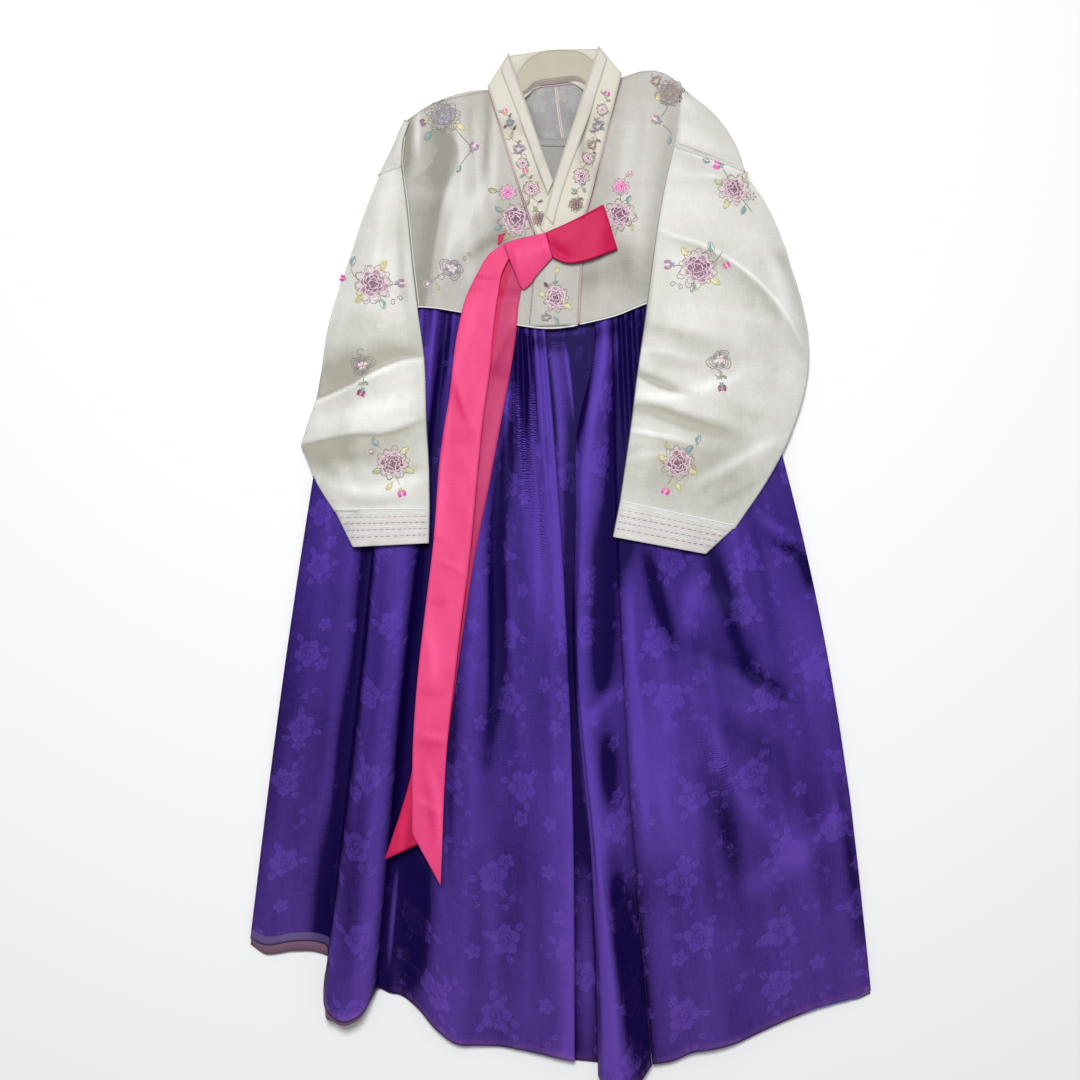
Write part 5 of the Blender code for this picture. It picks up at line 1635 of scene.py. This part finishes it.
# Each row is a motif, its place, its size in millimetres and its turn in degrees, then any dyes of its own.
# A stem or a vine has its points in place of size and turn.
EMBROIDERY = {
    "jacket_right_front": [
        ("rose", -150, 576, 17.9, 20, "slate", "slate", "taupe", "slate"),
        ("bud", -173, 569, 7, 200, "plum", "mauve"),
        ("leaf", -134, 566, 12, -35),
        ("open", -166, 557, 12, 235),
        ("stem", -140, 566, [(12, -14), (26, -30)]),
        ("bud", -113, 533, 9, 60, "mauve", "blush", "slate"),
        ("stem", -114, 531, [(-7, -8), (-14, -18)]),
        ("open", -128, 513, 9, 245),
        ("bud", -67, 470, 9, 85, "magenta", "candy", "slate"),
        ("rose", -67, 477, 8.5, 0, "magenta", "magenta", "candy", "blush"),
        ("leaf", -80, 479, 11, 170, "olive", "taupe"),
        ("stem", -66, 473, [(1, -8), (-1, -17)], "olive"),
        ("rose", -57, 441, 17.9, 65),
        ("open", -73, 452, 10, 150),
        ("open", -75, 433, 9, 205),
        ("open", -66, 424, 9, 235, "olive"),
        ("drawn", -138, 379, 17, 130, "mauve"),
        ("scroll", -119, 393, 7, 40),
        ("stem", -146, 374, [(-9, -5), (-17, -11)]),
        ("bud", -166, 361, 7, 215, "taupe", "blush", "slate"),
        ("open", -158, 358, 7, 290, "olive"),
    ],
    "jacket_left_front": [
        ("rose", 141, 606, 14.6, 10, "taupe", "slate", "taupe"),
        ("drawn", 124, 622, 8, 40, "taupe", "taupe"),
        ("leaf", 130, 596, 10, 130),
        ("stem", 138, 606, [(0, -18), (-9, -32)]),
        ("bud", 127, 569, 9, 150, "taupe", "blush", "slate"),
        ("stem", 132, 565, [(7, -6), (12, -12)]),
        ("open", 142, 550, 9, 250),
        ("bud", 77, 478, 9, 90, "magenta", "candy", "slate"),
        ("rose", 78, 484, 8.5, 20, "magenta", "magenta", "candy", "blush"),
        ("sprig", 82, 494, 12, 40),
        ("stem", 76, 481, [(1, -8), (2, -17)]),
        ("rose", 76, 447, 16.8, 15),
        ("open", 86, 463, 9, 65),
        ("open", 87, 437, 10, 300, "olive"),
        ("stem", 76, 432, [(-4, -6), (-6, -12)], "teal"),
    ],
    "seop": [
        ("rose", -6, 341, 14, 30, "plum", "mauve", "blush"),
        ("leaf", -17, 344, 10, 165),
        ("leaf", 4, 333, 11, -35),
        ("leaf", -15, 354, 7, 130, "plum", "plum"),
        ("drawn", -18, 315, 6.5, 0, "taupe"),
        ("open", -8, 316, 9, -60),
        ("stem", -5, 372, [(-1, -7), (0, -15)]),
        ("leaf", -5, 371, 8, 70),
        ("open", -3, 362, 6, 200),
    ],
    "git_right_front": [
        ("vine", -72, 584, [(11, -32), (22, -66), (34, -100), (48, -142)]),
        ("drawn", -64, 566, 5, 0, "slate"),
        ("rose", -48, 515, 6, 10, "plum", "mauve", "blush", "taupe"),
        ("bud", -70, 577, 6, 110, "rose", "candy"),
        ("open", -66, 569, 7, 300),
        ("open", -62, 555, 7, 250, "slate"),
        ("open", -60, 549, 7, 150, "straw"),
        ("drawn", -53, 533, 8.5, 0, "slate", "mauve"),
        ("open", -46, 521, 6, 300),
        ("stem", -54, 520, [(6, -4), (10, -11)]),
        ("bud", -44, 502, 6, 100, "rose", "candy"),
        ("rose", -37, 481, 8.5, 40),
        ("open", -40, 467, 8, 245, "taupe"),
        ("leaf", -34, 457, 7, 300, "olive", "taupe"),
        ("rose", -26, 441, 7.5, 80, "plum", "rose", "taupe"),
    ],
    "git_left_front": [
        ("vine", 60, 606, [(-10, -40), (-20, -76), (-32, -112), (-42, -150)]),
        ("rose", 54, 582, 5.5, 10, "slate", "taupe", "blush", "taupe"),
        ("rose", 36, 520, 6, 10, "plum", "mauve", "blush", "taupe"),
        ("bud", 59, 599, 6, 75),
        ("open", 54, 589, 7, 240),
        ("open", 52, 577, 7, 100, "olive"),
        ("drawn", 49, 562, 8, 20, "slate", "mauve"),
        ("leaf", 43, 549, 7, 240, "straw", "taupe"),
        ("drawn", 42, 538, 7, 50, "taupe", "mauve"),
        ("open", 40, 525, 6, 320),
        ("bud", 34, 516, 6, 100, "rose", "candy"),
        ("rose", 27, 495, 8.5, 0),
        ("leaf", 28, 481, 7, 300, "slate", "olive"),
        ("open", 22, 476, 7, 200, "taupe"),
        ("rose", 20, 459, 7, 50, "plum", "mauve", "taupe"),
    ],
    "left_sleeve": [
        ("rose", -238, 357, 20.2, 15),
        ("leaf", -229, 372, 14, 60, "olive", "straw"),
        ("leaf", -250, 345, 14, 225, "olive", "straw"),
        ("stem", -222, 355, [(7, 1), (13, 2)], "slate"),
        ("bud", -207, 358, 8, 0, "mauve", "blush", "slate"),
        ("stem", -254, 361, [(-9, 7), (-13, 16)]),
        ("open", -266, 379, 12, 70),
        ("bud", -275, 364, 6, 160, "magenta", "candy", "rose"),
        ("open", -229, 338, 12, 290),
        ("scroll", -208, 336, 9, 30),
        ("drawn", -252, 253, 17, 10),
        ("stem", -250, 238, [(-1, -6), (-1, -11)]),
        ("open", -251, 232, 6, 200, "olive"),
        ("open", -251, 232, 6, -25),
        ("bud", -252, 222, 8, 250, "plum", "rose", "teal"),
        ("rose", -213, 128, 16.8, 40),
        ("leaf", -203, 139, 12, 45),
        ("leaf", -226, 122, 12, 200, "olive", "teal"),
        ("open", -230, 150, 12, 130),
        ("bud", -237, 144, 6, 190, "mauve", "blush"),
        ("leaf", -198, 121, 11, -20),
        ("stem", -210, 114, [(3, -7), (6, -13)]),
        ("bud", -203, 94, 8, 290),
        ("leaf", -214, 104, 10, 230),
    ],
    "right_sleeve": [
        ("bud", 205, 509, 9, 165, "magenta", "candy", "teal"),
        ("open", 192, 514, 9, 160),
        ("stem", 208, 504, [(4, -6), (6, -13)]),
        ("rose", 222, 478, 15.7, 30),
        ("leaf", 233, 490, 11, 60, "straw", "slate"),
        ("leaf", 214, 465, 11, 245),
        ("open", 209, 486, 11, 165, "olive"),
        ("stem", 231, 467, [(7, -9), (14, -18)]),
        ("sprig", 238, 460, 13, 50, "plum"),
        ("leaf", 235, 457, 10, 250, "teal", "slate"),
        ("rose", 175, 377, 20.2, 50),
        ("stem", 158, 380, [(-8, 1), (-14, 1)]),
        ("bud", 142, 382, 9, 180, "mauve", "blush", "slate"),
        ("leaf", 163, 393, 12, 125),
        ("stem", 190, 381, [(9, 7), (17, 18)]),
        ("open", 196, 397, 13, 110),
        ("bud", 210, 384, 7, 300),
        ("leaf", 190, 364, 13, -30),
        ("open", 170, 360, 12, 255),
        ("scroll", 148, 355, 9, -20),
        ("drawn", 203, 261, 17, 180),
        ("stem", 204, 247, [(1, -6), (2, -12)]),
        ("open", 206, 240, 6, 200, "olive"),
        ("open", 206, 240, 6, -25),
        ("bud", 206, 229, 8, 275, "plum", "rose", "teal"),
        ("rose", 150, 129, 16.8, 0),
        ("leaf", 160, 140, 12, 50, "teal", "slate"),
        ("leaf", 137, 134, 12, 160),
        ("leaf", 163, 121, 11, -30),
        ("open", 174, 152, 11, 70),
        ("open", 140, 146, 10, 120, "olive"),
        ("stem", 145, 115, [(-4, -7), (-8, -13)]),
        ("bud", 136, 97, 8, 245),
        ("leaf", 148, 104, 10, 290),
    ],
}


def placed_motifs(rows, chance):
    """Every patch and thread of these motifs, at its place on the plan."""
    patches, threads = [], []
    for kind, x, y, *rest in rows:
        if kind in ("stem", "vine"):
            items, turn = stem(*rest) if kind == "stem" else vine(*rest, chance), 0.0
        else:
            size, turn, *dyes = rest
            items = UNEVEN[kind](size, chance, *dyes) if kind in UNEVEN else EVEN[kind](size, *dyes)
        for sort, dye, plan, *more in items:
            plan = turned(plan, math.radians(turn)) + (x, y)
            (patches if sort == "satin" else threads).append((ORDER.index(dye), plan, *more))
    return patches, threads


def round_threads(paths, radii, lifts, ground):
    """Round threads lying on the ground relief along paths: a ring of points round every point of a path,
    square to its direction, closing to a point at both ends. The arrays run threads, points, ring."""
    height = height_on(ground, paths) + lifts[:, None]
    middle = np.concatenate([paths, height[..., None]], axis=-1)
    ahead = np.gradient(middle, axis=1)
    ahead /= np.maximum(np.linalg.norm(ahead, axis=-1, keepdims=True), 1e-9)
    side = np.cross(ahead, [0.0, 0.0, 1.0])
    side /= np.maximum(np.linalg.norm(side, axis=-1, keepdims=True), 1e-9)
    up = np.cross(side, ahead)
    taper = np.ones(paths.shape[1])
    taper[[0, -1]] = 0.02
    angle = np.linspace(0, 2 * math.pi, THREAD_SIDES, endpoint=False)
    ring = side[:, :, None] * np.cos(angle)[:, None] + up[:, :, None] * np.sin(angle)[:, None]
    return middle[:, :, None] + ring * (radii[:, None] * taper)[..., None, None]


def repeated_faces(grid, count):
    """The faces of one grid for each of its copies, whose points follow one another."""
    step = grid.max() + 1
    return (grid[None] + np.arange(count)[:, None, None] * step).reshape(-1, 4)


def travelled(grid, axis):
    """Distance run to each point along one axis of a grid, from the first point on it."""
    steps = np.diff(grid, axis=axis, prepend=np.take(grid, [0], axis))
    return np.cumsum(np.linalg.norm(steps, axis=-1), axis=axis)


def sew(name, patches, threads, ground):
    """One mesh from patches and threads, with a material for each dye."""
    sorts = []
    if patches:
        dyes, plans, domes = zip(*patches)
        plans = np.stack(plans)
        grids = raised(plans, height_on(ground, plans) + np.stack(domes))
        quads = quads_of(PATCH_ROWS, PATCH_COLUMNS)
        sorts.append((grids, travelled(plans, 2), travelled(plans, 1), quads, dyes))
    if threads:
        dyes, paths, radii, lifts = zip(*threads)
        paths = np.stack(paths)
        rings = round_threads(paths, np.array(radii), np.array(lifts), ground)
        run = np.repeat(travelled(paths, 1)[..., None], THREAD_SIDES, axis=2)
        around = np.arange(THREAD_SIDES) * 0.6 + 0 * run
        quads = quads_of(paths.shape[1], THREAD_SIDES, ring=True)
        sorts.append((rings, around, run, quads, dyes))
    points, faces, pattern, kinds = [], [], [], []
    for grids, across, down, quads, dyes in sorts:
        faces.append(repeated_faces(quads, len(dyes)) + sum(len(p) for p in points))
        points.append(grids.reshape(-1, 3))
        pattern.append(np.stack([across, down], axis=-1).reshape(-1, 2))
        kinds.append(np.repeat(dyes, len(quads)))
    points, faces, pattern, kinds = map(np.concatenate, (points, faces, pattern, kinds))
    return shell(name, points, faces, pattern, list(THREADS.values()), kinds=kinds)


def make_embroidery():
    """The motifs of each piece of cloth, sewn to it as one mesh."""
    for i, (cloth, rows) in enumerate(EMBROIDERY.items()):
        patches, threads = placed_motifs(rows, np.random.default_rng(50 + i))
        cloths = [cloth, "jacket_back"] if cloth.startswith("jacket") else [cloth]
        sew(f"embroidery_{cloth}", patches, threads, ground_of(cloths))


# Rows of stitches along a cuff: share of its height from the sleeve's seam, dye, thickness and the length
# of a stitch. The threads that lie between the darker rows are long and pale.
CUFF_ROWS = [
    (0.13, "ivory", 0.8, 30), (0.22, "teal", 0.4, 9), (0.30, "ivory", 0.8, 30), (0.35, "blush", 0.6, 14),
    (0.39, "plum", 0.5, 8), (0.43, "blush", 0.6, 14), (0.49, "ivory", 0.7, 30), (0.565, "slate", 0.65, 7),
    (0.64, "ivory", 0.7, 30), (0.70, "blush", 0.6, 14), (0.755, "plum", 0.5, 8), (0.80, "blush", 0.6, 14),
    (0.87, "ivory", 0.7, 30),
]


ROW_END = 2.5  # by which a row of stitches stops short of both edges
STITCH_POINTS = np.array([0, 0.47, 0.94])  # of a thread, as shares of the way to the next one


def running_stitches(left, right, dye, thick, step, chance):
    """A row of stitches of uneven length along a line, each a short thread of three points."""
    length = np.linalg.norm(right - left)
    steps = step * chance.uniform(0.75, 1.3, int(length / step))
    steps *= (length - 2 * ROW_END) / steps.sum()
    place = (np.cumsum(steps) - steps + ROW_END)[:, None] + STITCH_POINTS * steps[:, None]
    paths = left + (right - left) / length * place[..., None]
    return [(ORDER.index(dye), path, thick, 0.15) for path in paths]


def piped(name, path, finish, radius, ground, spacing=4.0, lift=0.0):
    """A round piping along a path on the ground relief."""
    path = np.asarray(path, float)
    length = np.linalg.norm(np.diff(path, axis=0), axis=1).sum()
    line = along(path, int(length / spacing) + 3)[None]
    ring = round_threads(line, np.array([radius]), np.array([radius * 0.6 + lift]), ground)
    run = np.linspace(0, length, line.shape[1])[None, :, None] + 0 * ring[..., 0]
    around = np.arange(THREAD_SIDES) * 1.2 + 0 * run
    faces = quads_of(line.shape[1], THREAD_SIDES, ring=True)
    return shell(name, ring, faces, np.stack([around, run], axis=-1), finish)


JACKET_EDGES = [
    # name, path, finish, radius, lift
    ("piping_right", [(-93.8, 612), (-62.8, 514.5), (-32.8, 422)], rose_piping, 0.9, 0.5),
    ("piping_left", [(80, 628), (58, 540), (36, 453), (31, 437)], rose_piping, 0.9, 0.5),
    ("piping_seop", [(31, 420), (27.4, 381), (23.6, 307)], rose_piping, 0.9, 0.5),
    ("seam_seop", [(-29.6, 420), (-34.6, 359), (-39.6, 305)], seam_shadow_grey, 0.5, 0.0),
    (
        "hem_right", [(-249, 317), (-181, 329), (-125, 322), (-53, 306), (-20, 302), (20, 304.5)],
        rim_white, 1.0, 0.5,
    ),
    ("hem_left", [(24, 306.5), (72, 318.5), (110, 333.5), (224, 346.5)], rim_white, 1.0, 0.5),
    ("hem_seop", [(-40, 303.6), (-8, 302), (23, 305.6)], rim_white, 1.0, 0.5),
]
FRONT_SEAM = [(-199.5, 550), (-202, 514), (-201.3, 507), (-194.3, 455), (-188.3, 396), (-180.3, 329)]
NECK_RIM = [
    (-50, 598.6), (-42, 604.6), (-34, 611.6), (-28, 614), (-8, 616.6), (14, 618.6), (20, 618.6), (27, 615.6),
    (35, 609.6), (44, 602.6),
]
CUFF_INSET = 0.012  # share of its length by which a cuff's seam stops short of both edges
CUFF_CORNERS = {
    # start and end at the sleeve, start and end at the opening
    "left": [(-290, 70), (-166, 71), (-265, 22), (-167, 27)],
    "right": [(76, 81), (226, 49), (67, 35), (187, 13)],
}


def make_trim():
    """Pipings, hems and seams of the jacket, and the seams and rows of stitches of the cuffs."""
    jacket = ground_of(["jacket_right_front", "jacket_left_front", "seop"])
    for name, path, finish, radius, lift in JACKET_EDGES:
        piped(name, path, finish, radius, jacket, lift=lift)
    back = laid["jacket_back"]
    inside = relief(back[back[:, :, 2].max(axis=1) < ON_FLOOR], 2.0)
    bodice = ground_of(["bodice_front"])
    piped("binding_bodice", [(-28, 539), (-5, 538), (15, 538)], cream_inside_shaded, 1.0, bodice)
    piped("seam_back_a", [(-6.5, 617), (-3, 585), (2.5, 547)], neck_allowance, 0.8, inside)
    piped("seam_back_b", [(-4.2, 617), (-0.7, 585), (4.8, 547)], neck_allowance, 0.6, inside)
    piped("neck_piping", NECK_RIM, rose_piping, 0.7, inside, spacing=2.0, lift=0.9)
    ground = ground_of(["jacket_right_front", "left_sleeve", "jacket_back"], 3.0)
    piped("armhole_seam_front", FRONT_SEAM, cream_sleeve, 1.1, ground, lift=-0.5)
    for side, line in (("left", ARMHOLE_LEFT), ("right", ARMHOLE_RIGHT)):
        ground, path = ground_of(["jacket_back", f"{side}_sleeve"]), [line[0], np.mean(line, axis=0), line[1]]
        piped(f"armhole_seam_{side}", path, cream_sleeve, 1.2, ground, spacing=3.0, lift=-0.5)
    for side, corners in CUFF_CORNERS.items():
        start, end, low_start, low_end = np.array(corners, float)
        inwards = (end - start) * CUFF_INSET
        path = [start + inwards, (start + end) / 2, end - inwards]
        ground = ground_of([f"{side}_cuff", f"{side}_sleeve"])
        piped(f"cuff_seam_{side}", path, rim_white, 1.2, ground, spacing=3.0, lift=-0.8)
        stitches, chance = [], np.random.default_rng(7)
        for share, *row in CUFF_ROWS:
            a = start * (1 - share) + low_start * share
            b = end * (1 - share) + low_end * share
            stitches += running_stitches(a, b, *row, chance)
        sew(f"stitches_{side}", [], stitches, ground_of([f"{side}_cuff"]))


# ---------------------------------------------------------------- floor, light and camera


FRAME_CENTRE = (-25.8, 31.0)  # of the view, on the plan
FRAME_WIDTH = 1393.2
CAMERA_HEIGHT = 2400.0
SENSOR = 36
FLOOR_REACH, FLOOR_HEIGHT = 6000.0, -0.6


def make_stage():
    """A wide matt floor just below the cloth, pale and even, so that it gives the eye only soft shadows."""
    finish, _, shader, _ = fresh("pale floor")
    shader.inputs["Base Color"].default_value = linear("#f6f6f6")
    shader.inputs["Roughness"].default_value = 0.9
    corners = np.array([(-1, -1), (1, -1), (1, 1), (-1, 1)]) * FLOOR_REACH
    shell("floor", raised(corners, FLOOR_HEIGHT), np.array([[0, 1, 2, 3]]), corners, finish)


def make_light():
    """One large soft box high above the collar's side, aimed a little below the middle, and a pale sky."""
    light = bpy.data.lights.new("key", "AREA")
    light.size = 800 * MM
    light.energy = 84
    lamp = bpy.data.objects.new("key", light)
    lamp.location = np.array((-160, 900, 3100)) * MM
    lamp.rotation_euler = Vector(np.array((160, -960, -3100)) * MM).to_track_quat("-Z", "Y").to_euler()
    bpy.context.scene.collection.objects.link(lamp)
    world = bpy.data.worlds.new("studio")
    world.use_nodes = True
    sky = world.node_tree.nodes["Background"].inputs
    sky["Color"].default_value = linear("#f4f6fa")
    sky["Strength"].default_value = 0.34
    bpy.context.scene.world = world


def make_camera():
    """A camera straight above, as wide as the frame at the floor."""
    lens = bpy.data.cameras.new("view")
    lens.sensor_width = SENSOR
    lens.lens = SENSOR * CAMERA_HEIGHT / FRAME_WIDTH
    camera = bpy.data.objects.new("view", lens)
    camera.location = (*((np.array(FRAME_CENTRE) + SHIFT) * MM), CAMERA_HEIGHT * MM)
    bpy.context.scene.collection.objects.link(camera)
    bpy.context.scene.camera = camera
    bpy.context.scene.view_settings.view_transform = "Standard"


make_camera()
make_light()
make_stage()
make_skirt()
make_jacket_back()
make_jacket_fronts()
make_collar()
make_sleeves()
make_tails()
make_bow()
make_embroidery()
make_trim()
